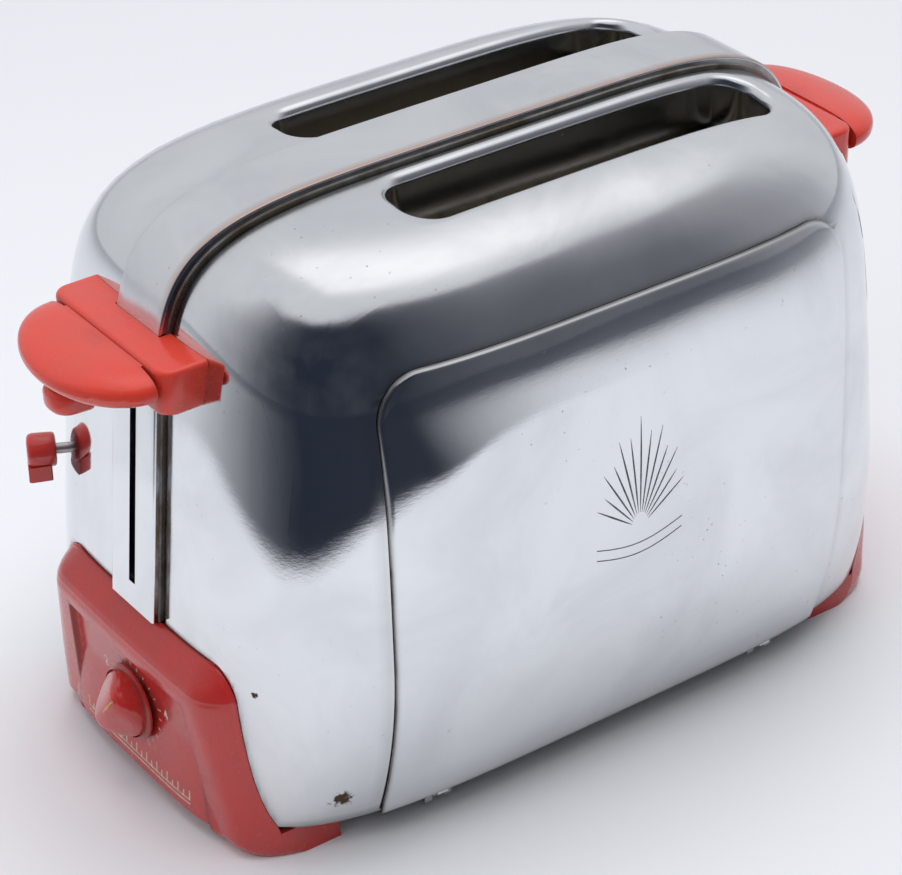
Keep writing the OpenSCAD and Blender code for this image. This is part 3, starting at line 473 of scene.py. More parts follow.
def wall_rows(z, t, o, cx, cy, rx, ry):
    """One row of wall points: ends solved for x, flank solved for y, from the crown (t 0) to the door (t 1)."""
    out = np.zeros((len(cx), 3))
    n1, n2, n3 = E_N, E_N + S_N + 1, 2 * E_N + S_N + 1
    zz = np.broadcast_to(z, (len(cx),))
    y = mix(cy[:n1], ry, t)
    out[:n1] = np.stack([-end_x(y, zz[:n1], o[:n1]), y, zz[:n1]], -1)
    x = mix(cx[n1:n2], rx, t)
    out[n1:n2] = np.stack([x, flank_y(x, zz[n1:n2], o[n1:n2]), zz[n1:n2]], -1)
    y = mix(cy[n2:n3], ry[::-1], t)
    out[n2:n3] = np.stack([end_x(y, zz[n2:n3], o[n2:n3]), y, zz[n2:n3]], -1)
    return out


LOW_A, LOW_B, HIGH, RING, LIP = 4, 58, 40, 16, 9


def edge_drop(y):
    """How far the skin turns down at the edge beside the band: a quarter circle of 1 mm."""
    d = np.clip((y - EDGE_Y) / 1.0, 0, 1)
    return 1.0 * (1 - np.sqrt(1 - (1 - d) ** 2))


def shell_skin(inner):
    """One skin of the half shell as a looped grid: rim, walls, crown, ring round the slot, rolled lip."""
    cx, cy, rx, ry, run = shell_columns()
    n = len(cx)
    base = -WALL if inner else 0.0
    yw = np.concatenate([ry, np.full(S_N + 1, 60.0), ry[::-1], np.full(S_N - 1, EDGE_Y)])
    yc = cy
    rows = []
    for z in np.concatenate([np.linspace(RIM_Z, OPEN_LOW, LOW_A, endpoint=False),
                             np.linspace(OPEN_LOW, OPEN_TOP, LOW_B + 1)]):
        o = base - (0 if inner else edge_drop(yw))
        rows.append(wall_rows(z, 1.0, np.broadcast_to(o, (n,)), cx, cy, rx, ry))
    o = base - (0 if inner else edge_drop(yc))
    o = np.broadcast_to(o, (n,))
    crown = top_z(cx, cy, o)
    for i in range(1, HIGH):
        f = math.sin(math.pi / 2 * i / HIGH)
        o2 = base - (0 if inner else edge_drop(mix(yw, yc, f)))
        rows.append(wall_rows(mix(OPEN_TOP, crown, f), 1 - f, np.broadcast_to(o2, (n,)), cx, cy, rx, ry))
    lx, ly = slot_outline(LIP_R, run)
    for i in range(RING + 1):
        f = i / RING
        x, y = mix(cx, lx, f), mix(cy, ly, f)
        rows.append(np.stack([x, y, top_z(x, y, base - (0 if inner else edge_drop(y)))], -1))
    r = LIP_R - (WALL if inner else 0)
    for i in range(1, LIP + 1):
        a = math.pi / 2 * i / LIP
        x, y = slot_outline(LIP_R - r * math.sin(a), run)
        x0, y0 = slot_outline(LIP_R, run)
        rows.append(np.stack([x, y, top_z(x0, y0, base) - r * (1 - math.cos(a))], -1))
    x, y = slot_outline(WALL if inner else 0.0, run)
    rows.append(np.stack([x, y, top_z(*slot_outline(LIP_R, run), 0.0) - SLOT_LIP], -1))
    return np.array(rows)


def door_gap(x, z):
    """Distance from x, z in to the door's outline: a rectangle with rounded top corners."""
    hw = DOOR_WID / 2
    qx, qz = np.abs(x) - (hw - DOOR_R), z - (DOOR_TOP - DOOR_R)
    corner = DOOR_R - np.hypot(np.maximum(qx, 0), np.maximum(qz, 0))
    plain = np.minimum(hw - np.abs(x), DOOR_TOP - z)
    return np.where((qx > 0) & (qz > 0), corner, plain)


def dent(v):
    """The small raised ring and dimple pressed into the near shell's shoulder."""
    c = np.array([-81.0, 55.0, 173.6])
    d = np.linalg.norm(v - c, axis=1)
    return 0.45 * np.exp(-(d / 2.6) ** 2) - 0.22 * np.exp(-((d - 5.2) / 1.6) ** 2)


a_skin, b_skin = shell_skin(False), shell_skin(True)
cells = np.ones((a_skin.shape[0] - 1, a_skin.shape[1]), bool)
walls = LOW_A + LOW_B + HIGH
cells[:walls, 2 * E_N + S_N:] = False
cells[LOW_A:LOW_A + LOW_B, E_N + KEEP:E_N + S_N - KEEP] = False
sv, sq, sk = sheet_faces(a_skin, b_skin, cells, True)


def shell_dirt(v):
    """How dirty a point of a shell is: beside the band, round the door, at the base ends and at the rim."""
    beside = np.exp(-np.maximum(v[:, 1] - EDGE_Y, 0) / 1.1) * 0.8
    g = door_gap(v[:, 0], v[:, 2])
    flank = (v[:, 1] > 40) & (v[:, 2] < 160)
    door = np.where(flank & (g < 0.4), np.exp(-np.abs(g - 0.2) / 0.7) * 0.75, 0)
    rim = np.exp(-(v[:, 2] - RIM_Z) / 1.5) * 0.5
    hw = base_hw(np.minimum(v[:, 2], BASE_TOP))
    seam = np.where((np.abs(v[:, 0]) > 95) & (v[:, 2] < 61),
                    np.exp(-np.hypot(np.maximum(v[:, 1] - hw, 0), np.maximum(v[:, 2] - 60.5, 0)) / 0.9) * 0.6, 0)
    return np.maximum.reduce([beside, door, rim, seam])


def shell_heat(v):
    """1 on the turned-down walls of the slot, which the heat has browned, 0 on the outer skin."""
    qx = np.maximum(np.abs(v[:, 0] - SLOT_X) - (SLOT_LEN / 2 - SLOT_R), 0)
    qy = np.maximum(np.abs(v[:, 1] - SLOT_Y) - (SLOT_WID / 2 - SLOT_R), 0)
    outside = np.hypot(qx, qy) - SLOT_R
    crown = top_z(v[:, 0], v[:, 1], 0.0)
    return smooth((crown - v[:, 2] - LIP_R * 0.55) / 1.2) * (outside < LIP_R) * (v[:, 2] > 140)


sv2, sq2, smark = used_only(sv, sq, {"dirt": shell_dirt(sv), "heat": shell_heat(sv)})
nv = sv2.copy()
amount = dent(nv)
nv[:, 2] -= amount * 0.9
nv[:, 1] -= amount * 0.4
nv, nq = mirrored(nv, sq2, 1)
near_shell_skin = make_piece("near_shell_skin", nv, nq, "chassis", ["near_shell"],
                             [near_chrome], marks=smark, sharp=50)
far_shell_skin = make_piece("far_shell_skin", sv2, sq2, "chassis", ["far_shell"],
                            [far_chrome], marks=smark, sharp=50)


# ---- drop doors ----
def door_grid():
    """Columns and rows of the door, closer together at its edges."""
    edge = np.array([0, 0.08, 0.2, 0.4, 0.7, 1.1, 1.7, 3.0, 5.5])
    hw = DOOR_WID / 2
    arc = hw - DOOR_R * (1 - np.sin(np.radians(np.linspace(8, 90, 12)))) - 0.0
    left = np.unique(np.concatenate([hw - edge, arc[arc < hw - 5.5]]))
    x = np.unique(np.round(np.concatenate([-left, np.linspace(-66, 66, 60), left]), 5))
    zt = DOOR_TOP - DOOR_R + np.sqrt(np.maximum(0, DOOR_R ** 2 - np.maximum(0, np.abs(x) - (hw - DOOR_R)) ** 2))
    low = np.concatenate([edge, np.linspace(10, 120, 56)])
    f = low / low[-1]
    rows = []
    for d in low:
        rows.append(DOOR_LOW + d * (124.0 - DOOR_LOW) / 120.0)
    grid = [np.full_like(x, z) for z in rows]
    start = rows[-1]
    for t in np.linspace(0, 1, 22)[1:]:
        z = mix(start, zt - 3.0 * np.clip((zt - start) / 28.0, 0, 1), t)
        grid.append(z)
    last = grid[-1]
    for e in edge[::-1][1:]:
        grid.append(mix(zt, last, e / 5.5))
    z = np.array(grid)
    return np.broadcast_to(x, z.shape), z


dx, dz = door_grid()
gap = np.maximum(door_gap(dx, dz), 0)
low_gap = np.maximum(dz - DOOR_LOW, 0)
near_edge = np.minimum(gap, low_gap)
turn = np.clip(near_edge / 1.2, 0, 1)
outer_o = FIT + DOOR_WALL * np.sqrt(1 - (1 - turn) ** 2) * 0.85 + DOOR_WALL * 0.15
d_out = np.stack([dx, flank_y(dx, dz, outer_o), dz], -1)
d_in = np.stack([dx, flank_y(dx, dz, FIT), dz], -1)
dv, dq, dk = sheet_faces(d_out, d_in)
edge_all = np.concatenate([near_edge.ravel(), near_edge.ravel()])
door_dirt = np.exp(-edge_all / 0.35) * 0.85 + np.exp(-np.abs(dv[:, 2] - DOOR_LOW) / 2.0) * 0.4


def disc_prism(centre, radius, x0, x1, n=32):
    """A closed cylinder along X."""
    t = np.linspace(0, 2 * np.pi, n, endpoint=False)
    ring = np.stack([np.zeros(n), centre[0] + radius * np.cos(t), centre[1] + radius * np.sin(t)], -1)
    a, b = ring + [x0, 0, 0], ring + [x1, 0, 0]
    v = np.vstack([a, b])
    k = np.arange(n)
    sides = np.stack([k, (k + 1) % n, (k + 1) % n + n, k + n], -1)
    return v, [list(f) for f in sides] + [list(k[::-1]), list(k + n)]


def box_mesh(lo, hi):
    c = np.array([[x, y, z] for x in (lo[0], hi[0]) for y in (lo[1], hi[1]) for z in (lo[2], hi[2])], float)
    return c, [[0, 1, 3, 2], [4, 6, 7, 5], [0, 4, 5, 1], [2, 3, 7, 6], [0, 2, 6, 4], [1, 5, 7, 3]]


def joined(parts):
    """Several point and face lists as one, with the list that each face came from."""
    vs, fs, src, n = [], [], [], 0
    for k, (v, f) in enumerate(parts):
        vs.append(np.asarray(v, float))
        fs += [[int(i) + n for i in g] for g in f]
        src += [k] * len(f)
        n += len(v)
    return np.vstack(vs), fs, src


lug_y = float(flank_y(HINGE_X, DOOR_LOW, FIT + DOOR_WALL / 2))
door_parts = [(dv, dq)]
for s in (-1, 1):
    x0, x1 = s * HINGE_X - 1.8, s * HINGE_X + 1.8
    door_parts.append(box_mesh((x0, HINGE_Y, 8.8), (x1, lug_y, 10.8)))
    door_parts.append(disc_prism((HINGE_Y, HINGE_Z), 2.5, x0, x1))
fv, ff, fsrc = joined(door_parts)
fdirt = np.zeros(len(fv))
fdirt[:len(dv)] = door_dirt
far_door_skin = make_piece("far_door_skin", fv, ff, "far_door", ["far_drop_door"],
                           [door_chrome], marks={"dirt": fdirt}, sharp=50)
mv, mf = fv.copy(), [f[::-1] for f in ff]
mv[:, 1] *= -1
near_door_skin = make_piece("near_door_skin", mv, mf, "near_door", ["near_drop_door"],
                            [door_chrome], marks={"dirt": fdirt}, sharp=50)


# ---- centre band ----
def band_path(n):
    """Stations along the band from front foot over the top to the rear foot, evenly spaced at its outer face."""
    k = np.linspace(0, 1, 6000)
    low = mix(BAND_FOOT, END_Z, np.linspace(0, 1, 1500, endpoint=False))
    a = np.pi / 2 * (1 - (1 - k) ** 3) * 1.0
    a = np.unique(np.concatenate([a, np.pi / 2 * k ** 2]))

    def at(o):
        zl = low
        zh = END_Z + (BODY_TOP + o - END_Z) * np.sin(a) ** (2 / END_POW)
        z = np.concatenate([zl, zh])
        c = np.concatenate([half_len(zl, o), (BODY_LEN / 2 + o - END_LEAN * (zh - RIM_Z))
                            * np.maximum(np.cos(a), 0) ** (2 / END_POW)])
        return np.concatenate([-c, c[::-1][1:]]), np.concatenate([z, z[::-1][1:]])
    x, z = at(BAND_PROUD)
    run = np.concatenate([[0], np.cumsum(np.hypot(np.diff(x), np.diff(z)))])
    want = np.linspace(0, run[-1], n)
    pos = np.interp(want, run, np.arange(len(run)))

    def station(o):
        xx, zz = at(o)
        i = np.arange(len(xx))
        return np.interp(pos, i, xx), np.interp(pos, i, zz)
    return station, want


station, band_run = band_path(900)
hw, top, rr, deep = BAND_WID / 2, BAND_PROUD, 0.7, -1.2
bend = np.radians(np.linspace(0, 90, 7))
right = [(hw - rr + rr * np.cos(t), top - rr + rr * np.sin(t)) for t in bend]
outer = [(hw, deep), (hw, 0.2), (hw, 1.6)] + right
crossing = [(y, top + 0.0) for y in np.linspace(hw - rr, -hw + rr, 9)[1:-1]]
loop = outer + crossing + [(-y, o) for y, o in outer[::-1]]
inner = [(-hw + 1.2, deep), (-hw + 1.2, top - 1.2), (hw - 1.2, top - 1.2), (hw - 1.2, deep)]
loop = np.array(loop + inner)
band_cols = []
for y, o in loop:
    x, z = station(o)
    band_cols.append(np.stack([x, np.full_like(x, y), z], -1))
B = np.array(band_cols).transpose(1, 0, 2)
R, C = B.shape[:2]
ids = np.arange(R * C).reshape(R, C)
bq = np.stack([ids[:-1], np.roll(ids, -1, 1)[:-1], np.roll(ids, -1, 1)[1:], ids[1:]], -1)
col_no = np.broadcast_to(np.arange(C), (R - 1, C))
side_cols = set(range(0, 3)) | set(range(len(outer) * 2 + len(crossing) - 4, C))
bf = bq.reshape(-1, 4)
bmat = np.isin(col_no.ravel(), list(side_cols)).astype(int)
bvol = signed_volume(B.reshape(-1, 3), bf)
bf = bf[:, ::-1] if bvol < 0 else bf
nl = len(loop)
caps = []
for row, flip in ((0, bvol < 0), (R - 1, bvol > 0)):
    base = row * C
    n_out = len(outer) * 2 + len(crossing)
    strip = [[base + nl - 1, base + 0, base + 4, base + nl - 2]]
    ring = list(range(base, base + nl))
    caps.append(ring[::-1] if not flip else ring)
bvv = B.reshape(-1, 3)
o_all = np.tile(loop[:, 1], R)
y_all = np.tile(loop[:, 0], R)
worn = np.exp(-np.abs(y_all + hw - 0.4) / 0.5) * np.clip((o_all - 2.6) / 0.6, 0, 1)
worn *= np.tile(np.clip((bvv.reshape(R, C, 3)[:, 0, 2] - 150) / 12, 0, 1)[:, None], (1, C)).ravel()
bdirt = np.clip((0.9 - o_all) / 1.6, 0, 1) * 0.7
faces_b = [list(f) for f in bf] + caps
centre_band_skin = make_piece("centre_band_skin", bvv, faces_b, "chassis", ["centre_band"],
                              [band_chrome, band_side], face_mats=list(bmat) + [1, 1],
                              marks={"dirt": bdirt, "worn": worn}, sharp=40)

def cut_out(ob, verts, faces, sharp):
    """Takes a closed cutter out of a piece and keeps the result as its mesh."""
    me = bpy.data.meshes.new("cutter")
    me.from_pydata((np.asarray(verts, float) * MM).tolist(), [], [list(map(int, f)) for f in faces])
    tool = bpy.data.objects.new("cutter", me)
    bpy.context.collection.objects.link(tool)
    mod = ob.modifiers.new("cut", "BOOLEAN")
    mod.operation, mod.object, mod.solver = "DIFFERENCE", tool, "EXACT"
    held = ob.evaluated_get(bpy.context.evaluated_depsgraph_get())
    done = bpy.data.meshes.new_from_object(held)
    ob.modifiers.clear()
    ob.data = done
    bpy.data.objects.remove(tool)
    done.set_sharp_from_angle(angle=math.radians(sharp))


cut_out(centre_band_skin, *box_mesh((-140.0, -1.6, 68.8), (-104.0, 1.6, 137.3)), 40)

# ribbed strip at the foot of the band's sides, standing in the gap
strip_parts = []
strip_run = []
for s in (-1, 1):
    sec = [(s * (hw + 0.02), -1.8), (s * (hw + 0.55), -1.8), (s * (hw + 0.55), 0.9), (s * (hw + 0.02), 1.25)]
    g = np.array([np.stack([station(o)[0], np.full(len(band_run), y), station(o)[1]], -1)
                  for y, o in sec]).transpose(1, 0, 2)
    i4 = np.arange(g.shape[0] * 4).reshape(-1, 4)
    q = np.stack([i4[:-1], np.roll(i4, -1, 1)[:-1], np.roll(i4, -1, 1)[1:], i4[1:]], -1).reshape(-1, 4)
    v = g.reshape(-1, 3)
    inside_out = signed_volume(v, q) < 0
    if inside_out:
        q = q[:, ::-1]
    ends = [list(i4[0]), list(i4[-1][::-1])] if inside_out else [list(i4[0][::-1]), list(i4[-1])]
    strip_parts.append((v, [list(f) for f in q] + ends))
    strip_run.append(np.repeat(band_run, 4))
stv, stf, _ = joined(strip_parts)
band_strip = make_piece("band_strip", stv, stf, "chassis", (), [rib_steel],
                        marks={"run": np.concatenate(strip_run)}, sharp=30)


# ---- handles ----
def lofted(rings, mats_of=None):
    """Closed solid through stacked closed rings with the same number of points, capped at both ends."""
    n, m = len(rings), len(rings[0])
    v = np.vstack(rings)
    ids = np.arange(n * m).reshape(n, m)
    q = np.stack([ids[:-1], np.roll(ids, -1, 1)[:-1], np.roll(ids, -1, 1)[1:], ids[1:]], -1).reshape(-1, 4)
    f = [list(k) for k in q] + [list(ids[0][::-1]), list(ids[-1])]
    flip = signed_volume(v, q) + 0.0
    c = v.mean(0)
    test = signed_volume(v - c, q)
    return (v, [g[::-1] for g in f]) if test < 0 else (v, f)


def block_ring(z, cut):
    """Plan of the handle block at height z: back along shell and band, straight sides, rounded front corners."""
    w, k, notch = HANDLE_HW - cut, 5.0 - cut, BAND_WID / 2 + 0.4
    ys = np.concatenate([np.linspace(w, notch + 0.3, 14), [notch], np.linspace(notch, -notch, 9), [-notch],
                         np.linspace(-notch - 0.3, -w, 14)])
    bx = end_x(ys, z, 0.06)
    bx[15:24] = half_len(z, BAND_PROUD + 0.06)
    t = np.radians(np.linspace(0, 90, 9))
    near_x, front_x = -bx[-1], cut - BLOCK_REACH
    side = np.column_stack([np.linspace(near_x, front_x + k, 6)[1:-1], np.full(4, -w)])
    corner = np.column_stack([front_x + k * (1 - np.sin(t)), -(w - k) - k * np.cos(t)])
    mid = np.column_stack([np.full(7, front_x), np.linspace(-(w - k), w - k, 9)[1:-1]])
    ring = np.vstack([np.column_stack([-bx, ys]), side, corner, mid, corner[::-1] * [1, -1], side[::-1] * [1, -1]])
    return np.column_stack([ring, np.full(len(ring), z)])


def rounded_levels(lo, hi, r, n=6):
    """Heights and cut-backs of a solid whose top and bottom edges are rounded by a quarter circle."""
    t = np.radians(np.linspace(90, 0, n))
    up = [(lo + r * (1 - math.sin(a)), r * (1 - math.cos(a))) for a in t]
    return [(z, c) for z, c in up] + [(hi - (z - lo), c) for z, c in up[::-1]]


def grip_solid():
    """Half-oval grip: rounded-square section shrinking to its rim, flat at the groove."""
    x0, A, Bw = -BLOCK_REACH - 0.9, HANDLE_REACH - BLOCK_REACH - 2.0, 28.8
    zc, up, down = HANDLE_TOP - 5.2, 4.9, 5.6
    th = np.radians(np.linspace(0, 180, 49))
    ph = np.radians(np.linspace(-90, 90, 73))
    r = np.sin(th) ** 0.42
    r[0] = r[-1] = 0
    hgt = np.where(np.cos(th) > 0, up * np.abs(np.cos(th)) ** 0.62, -down * np.abs(np.cos(th)) ** 0.75)
    T, P = np.meshgrid(np.arange(len(th)), ph, indexing="ij")
    rr_, hh = r[T], hgt[T]
    flat = 1 - 0.16 * np.sin(np.abs(P)) ** 8
    x = x0 - A * rr_ * np.cos(P)
    y = Bw * rr_ * np.sin(P)
    nose = np.clip((x0 - x) / A, 0, 1)
    z = zc + hh * (1 - 0.22 * nose ** 2 * (hh > 0)) - 1.2 * nose ** 2.2 * (hh > 0)
    side = (np.abs(y) / Bw) ** 6
    z = z - 0.9 * side * (hh > 0)
    g = np.stack([x, y, z], -1)
    v = g.reshape(-1, 3)
    n, m = g.shape[:2]
    ids = np.arange(n * m).reshape(n, m)
    q = np.stack([ids[:-1, :-1], ids[:-1, 1:], ids[1:, 1:], ids[1:, :-1]], -1).reshape(-1, 4)
    rim = list(ids[:, 0]) + list(ids[::-1, -1])
    f = [list(k) for k in q] + [rim[::-1]]
    return v, f


def tidy_mesh(ob, dist=0.00001):
    """Merges doubles, drops collapsed faces and points the faces outwards."""
    import bmesh
    bm = bmesh.new()
    bm.from_mesh(ob.data)
    bmesh.ops.remove_doubles(bm, verts=bm.verts, dist=dist)
    bmesh.ops.dissolve_degenerate(bm, edges=bm.edges, dist=dist)
    bmesh.ops.recalc_face_normals(bm, faces=bm.faces)
    bm.to_mesh(ob.data)
    bm.free()
    ob.data.polygons.foreach_set("use_smooth", np.full(len(ob.data.polygons), True))
    ob.data.set_sharp_from_angle(angle=math.radians(38))


block_rings = [block_ring(z, c) for z, c in rounded_levels(HANDLE_TOP - HANDLE_H, HANDLE_TOP, 1.5)]
block = lofted(block_rings)
neck_rings = [np.array([[-BLOCK_REACH + 1, -20.0, z], [-BLOCK_REACH + 1, 20.0, z],
                        [-BLOCK_REACH - 3, 20.0, z], [-BLOCK_REACH - 3, -20.0, z]])
              for z in (HANDLE_TOP - HANDLE_H + 3.4, HANDLE_TOP - 1.0)]
hv, hf, _ = joined([block, lofted(neck_rings), grip_solid()])
for side, name, node in ((1, "front_handle_moulding", "front_handle"), (-1, "rear_handle_moulding", "rear_handle")):
    v = hv * [side, 1, 1]
    f = hf if side == 1 else [g[::-1] for g in hf]
    back = np.exp(-np.maximum(0, -np.abs(v[:, 0]) * -1 - 104) / 2.0)
    groove = np.exp(-np.abs(np.abs(v[:, 0]) - BLOCK_REACH - 0.45) / 0.5) * 0.6
    h = make_piece(name, v, f, "chassis", [node], [red_handle],
                   marks={"dirt": np.maximum(groove, 0)})
    tidy_mesh(h)


# ---- base ends ----
def base_front(v, z):
    """x of the base end's face: leaning plane with a ridge, sunk panel, sides and top eased back."""
    y = v * base_hw(z)
    c = np.maximum(z, RIM_Z)
    back = end_x(y, c, 0.12) + 1.0
    face = mix(LOW_REACH, REACH, z / RIDGE_Z)
    over = np.maximum(z - (RIDGE_Z - 1.2), 0)
    slope = mix(REACH, half_len(BASE_TOP, FIT) + 0.8, np.clip((z - RIDGE_Z) / (BASE_TOP - RIDGE_Z), 0, 1) ** 1.15)
    face = np.where(z > RIDGE_Z, slope, face) - 0.6 * np.exp(-((z - RIDGE_Z) / 1.6) ** 2)
    side_in = smooth((PANEL_V + 0.005 - np.abs(v)) / 0.028)
    top_in = smooth((PANEL_TOP - z) / 1.6)
    dip = SUNK * side_in * top_in
    t = np.clip((np.abs(v) - BEVEL_V) / (1 - BEVEL_V), 0, 1)
    return np.maximum(back, mix(face, back, t ** 2.3) - dip - 1.2 * (v * v))


edge_v = np.array([0, 0.004, 0.01, 0.02, 0.035, 0.055])
pv = np.concatenate([np.linspace(0, 0.60, 26), np.linspace(0.61, 0.69, 17), np.linspace(0.70, 0.94, 17),
                     1 - edge_v[::-1]])
vs = np.unique(np.round(np.concatenate([-pv, pv]), 6))
zs = np.unique(np.round(np.concatenate([
    [0, 0.1, 0.3, 0.6, 1.0, 1.5, 2.2, 3, 3.8, 4.6, 5.3, 5.8, 6.0, 6.2, 6.8, 8.3, 8.4], np.linspace(9.5, 42, 34),
    np.linspace(43, 48, 18), np.linspace(48.4, 50, 4), np.linspace(50.3, 54.4, 16),
    BASE_TOP - 6.0 * (1 - np.sin(np.radians(np.linspace(0, 90, 18))))]), 4))
BV, BZ = np.meshgrid(vs, zs)
front = base_front(BV, BZ)
top_round = 0.7 * (1.0 - np.sqrt(1 - np.clip((BZ - BASE_TOP + 1.0) / 1.0, 0, 1) ** 2))
foot_round = round_in(FOOT_CORNER, FOOT_CORNER - BZ)
side_round = 1.3 * (1 - np.sqrt(1 - np.clip((np.abs(BV) - (1 - 0.035)) / 0.035, 0, 1) ** 2))
bev_y = BV * base_hw(BZ)
FX = front - top_round - foot_round - side_round * 0.6
outer_skin = np.stack([-FX, bev_y, BZ], -1)
back_x = np.where(BZ <= FOOT_TOP, FOOT_BACK, end_x(bev_y, np.maximum(BZ, RIM_Z), 0.12))
inner_skin = np.stack([-back_x, bev_y, BZ], -1)
on = np.ones((len(zs) - 1, len(vs) - 1), bool)
mid_v = np.abs(vs[1:] + vs[:-1]) / 2
on[np.ix_(zs[1:] <= ARCH_Z + 1e-6, mid_v < PANEL_V)] = False
ev, eq, _ = sheet_faces(outer_skin, inner_skin, on)
vv = np.tile(BV.ravel(), 2)
zz = np.tile(BZ.ravel(), 2)
panel_edge = np.minimum(np.abs(np.abs(vv) - PANEL_V) * 50, np.where(np.abs(vv) < PANEL_V, np.abs(zz - PANEL_TOP + 0.8), 9))
edirt = np.exp(-panel_edge / 0.7) * 0.6 * (zz < PANEL_TOP + 1)
edirt = np.maximum(edirt, np.exp(-np.abs(zz - BASE_TOP) / 0.3) * 0.3)
ev, eq, emark = used_only(ev, eq, {"dirt": edirt})
front_end = make_piece("front_end_moulding", ev, eq, "chassis", ["front_base_end"],
                       [red_moulding], marks=emark, sharp=40)
rv, rq = mirrored(ev, eq, 0)
rear_end = make_piece("rear_end_moulding", rv, rq, "chassis", ["rear_base_end"],
                      [red_moulding], marks=emark, sharp=40)
cut_out(rear_end, *disc_prism((0, 26.0), 6.15, 110.0, 130.0, 48), 40)


# ---- dial ----
DIAL_SKEW = math.radians(39.5)


def dial_solid():
    """Turned knob facing -X: skirt, body, domed face with two scoops that leave a ridge between them."""
    prof = [(0.0, 0.0), (11.2, 0.0), (11.7, 0.35), (11.7, 1.0), (11.3, 1.4), (10.5, 1.75), (10.4, 2.4), (10.45, 6.4),
            (10.2, 7.6), (9.6, 8.5), (8.6, 9.1), (7.2, 9.45), (5.4, 9.65), (3.6, 9.75), (1.8, 9.8), (0.0, 9.8)]
    prof = np.array(prof)
    s = np.concatenate([[0], np.cumsum(np.hypot(*np.diff(prof, axis=0).T))])
    u = np.unique(np.concatenate([s, np.linspace(0, s[-1], 70)]))
    r, h = np.interp(u, s, prof[:, 0]), np.interp(u, s, prof[:, 1])
    t = np.linspace(0, 2 * np.pi, 96, endpoint=False)
    Rr, Tt = np.meshgrid(r, t, indexing="ij")
    H = np.broadcast_to(h[:, None], Rr.shape).copy()
    y, z = Rr * np.cos(Tt), Rr * np.sin(Tt)
    across = y * math.cos(DIAL_SKEW) + z * math.sin(DIAL_SKEW)
    along = -y * math.sin(DIAL_SKEW) + z * math.cos(DIAL_SKEW)
    scoop = smooth((np.abs(across) - 0.2) / 10.5) * smooth((H - 2.6) / 3.0) * (5.4 - 0.012 * along ** 2)
    H = H - scoop
    x = -DIAL_BACK - H
    g = np.stack([x, y, z + DIAL_Z], -1)
    n, m = g.shape[:2]
    ids = np.arange(n * m).reshape(n, m)
    q = np.stack([ids[:-1], np.roll(ids, -1, 1)[:-1], np.roll(ids, -1, 1)[1:], ids[1:]], -1).reshape(-1, 4)
    return g.reshape(-1, 3), [list(k) for k in q]


kv, kf = dial_solid()
dial = make_piece("dial_knob_moulding", kv, kf, "dial_group", ["dial_knob"], [red_moulding],
                  marks={"dirt": np.exp(-np.abs(-kv[:, 0] - DIAL_BACK - 1.6) / 0.5) * 0.6})
tidy_mesh(dial)
ca, sa = math.cos(DIAL_SKEW), math.sin(DIAL_SKEW)
pl = []
for k in np.linspace(0.6, 9.0, 16):
    h = 9.86 - max(0, abs(k) - 7.0) ** 2 * 0.16
    for w, lift in ((-0.36, -0.25), (-0.30, 0.06), (0.30, 0.06), (0.36, -0.25)):
        pl.append([-DIAL_BACK - h - lift, w * ca - k * sa, w * sa + k * ca + DIAL_Z])
pl = np.array(pl).reshape(16, 4, 3)
pointer = lofted(list(pl))
dial_line = make_piece("dial_pointer_line", pointer[0], pointer[1], "dial_group", (),
                       [pointer_gold], sharp=60)


# ---- printed marks and the door's engraving ----
def stroke(points, width, at, deep):
    """Thin closed bars along a line of points in a face's own u, v, laid on the face by at(u, v, lift)."""
    parts = []
    for (u0, v0), (u1, v1) in zip(points[:-1], points[1:]):
        du, dv = u1 - u0, v1 - v0
        ln = max(math.hypot(du, dv), 1e-6)
        eu, ev = du / ln * width * 0.4, dv / ln * width * 0.4
        nu, nv = -dv / ln * width / 2, du / ln * width / 2
        flat = [(u0 - eu + nu, v0 - ev + nv), (u0 - eu - nu, v0 - ev - nv),
                (u1 + eu - nu, v1 + ev - nv), (u1 + eu + nu, v1 + ev + nv)]
        parts.append(lofted([np.array([at(u, v, -deep) for u, v in flat]),
                             np.array([at(u, v, 0.05) for u, v in flat])]))
    return parts


def panel_at(u, v, lift):
    """Point of the sunk front panel at y = u, z = v."""
    x = float(base_front(np.float64(u / base_hw(v)), np.float64(v)))
    return (-x - lift, u, v)


DIGITS = {"1": [[(-0.25, 0.6), (0.1, 1), (0.1, -1)]],
          "2": [[(-0.5, 0.6), (-0.2, 1), (0.3, 0.95), (0.5, 0.5), (0.3, 0.05), (-0.5, -1), (0.55, -1)]],
          "3": [[(-0.5, 0.8), (-0.1, 1), (0.4, 0.85), (0.45, 0.4), (0, 0.08), (0.5, -0.3), (0.4, -0.85), (-0.1, -1),
                 (-0.5, -0.8)]],
          "4": [[(0.25, -1), (0.25, 1), (-0.55, -0.35), (0.55, -0.35)]],
          "5": [[(0.5, 1), (-0.4, 1), (-0.45, 0.15), (0.1, 0.25), (0.5, -0.2), (0.4, -0.8), (-0.05, -1),
                 (-0.5, -0.8)]]}
ink = []
for k in range(21):
    a = math.radians(-60 + 300 * k / 20)
    long = 1.6 if k % 5 == 0 else 0.9
    c, d = -math.cos(a), math.sin(a)
    ink += stroke([(12.4 * c, DIAL_Z + 12.4 * d), ((12.4 + long) * c, DIAL_Z + (12.4 + long) * d)], 0.4, panel_at, 0.3)
for k in range(5):
    a = math.radians(-60 + 300 * k / 4)
    if -math.sin(a) > 0.6:
        continue
    c, d = -17.0 * math.cos(a), DIAL_Z + 15.6 * math.sin(a)
    for line in DIGITS[str(5 - k)]:
        ink += stroke([(c - 1.4 * u, d + 1.6 * v) for u, v in line], 0.55, panel_at, 0.3)
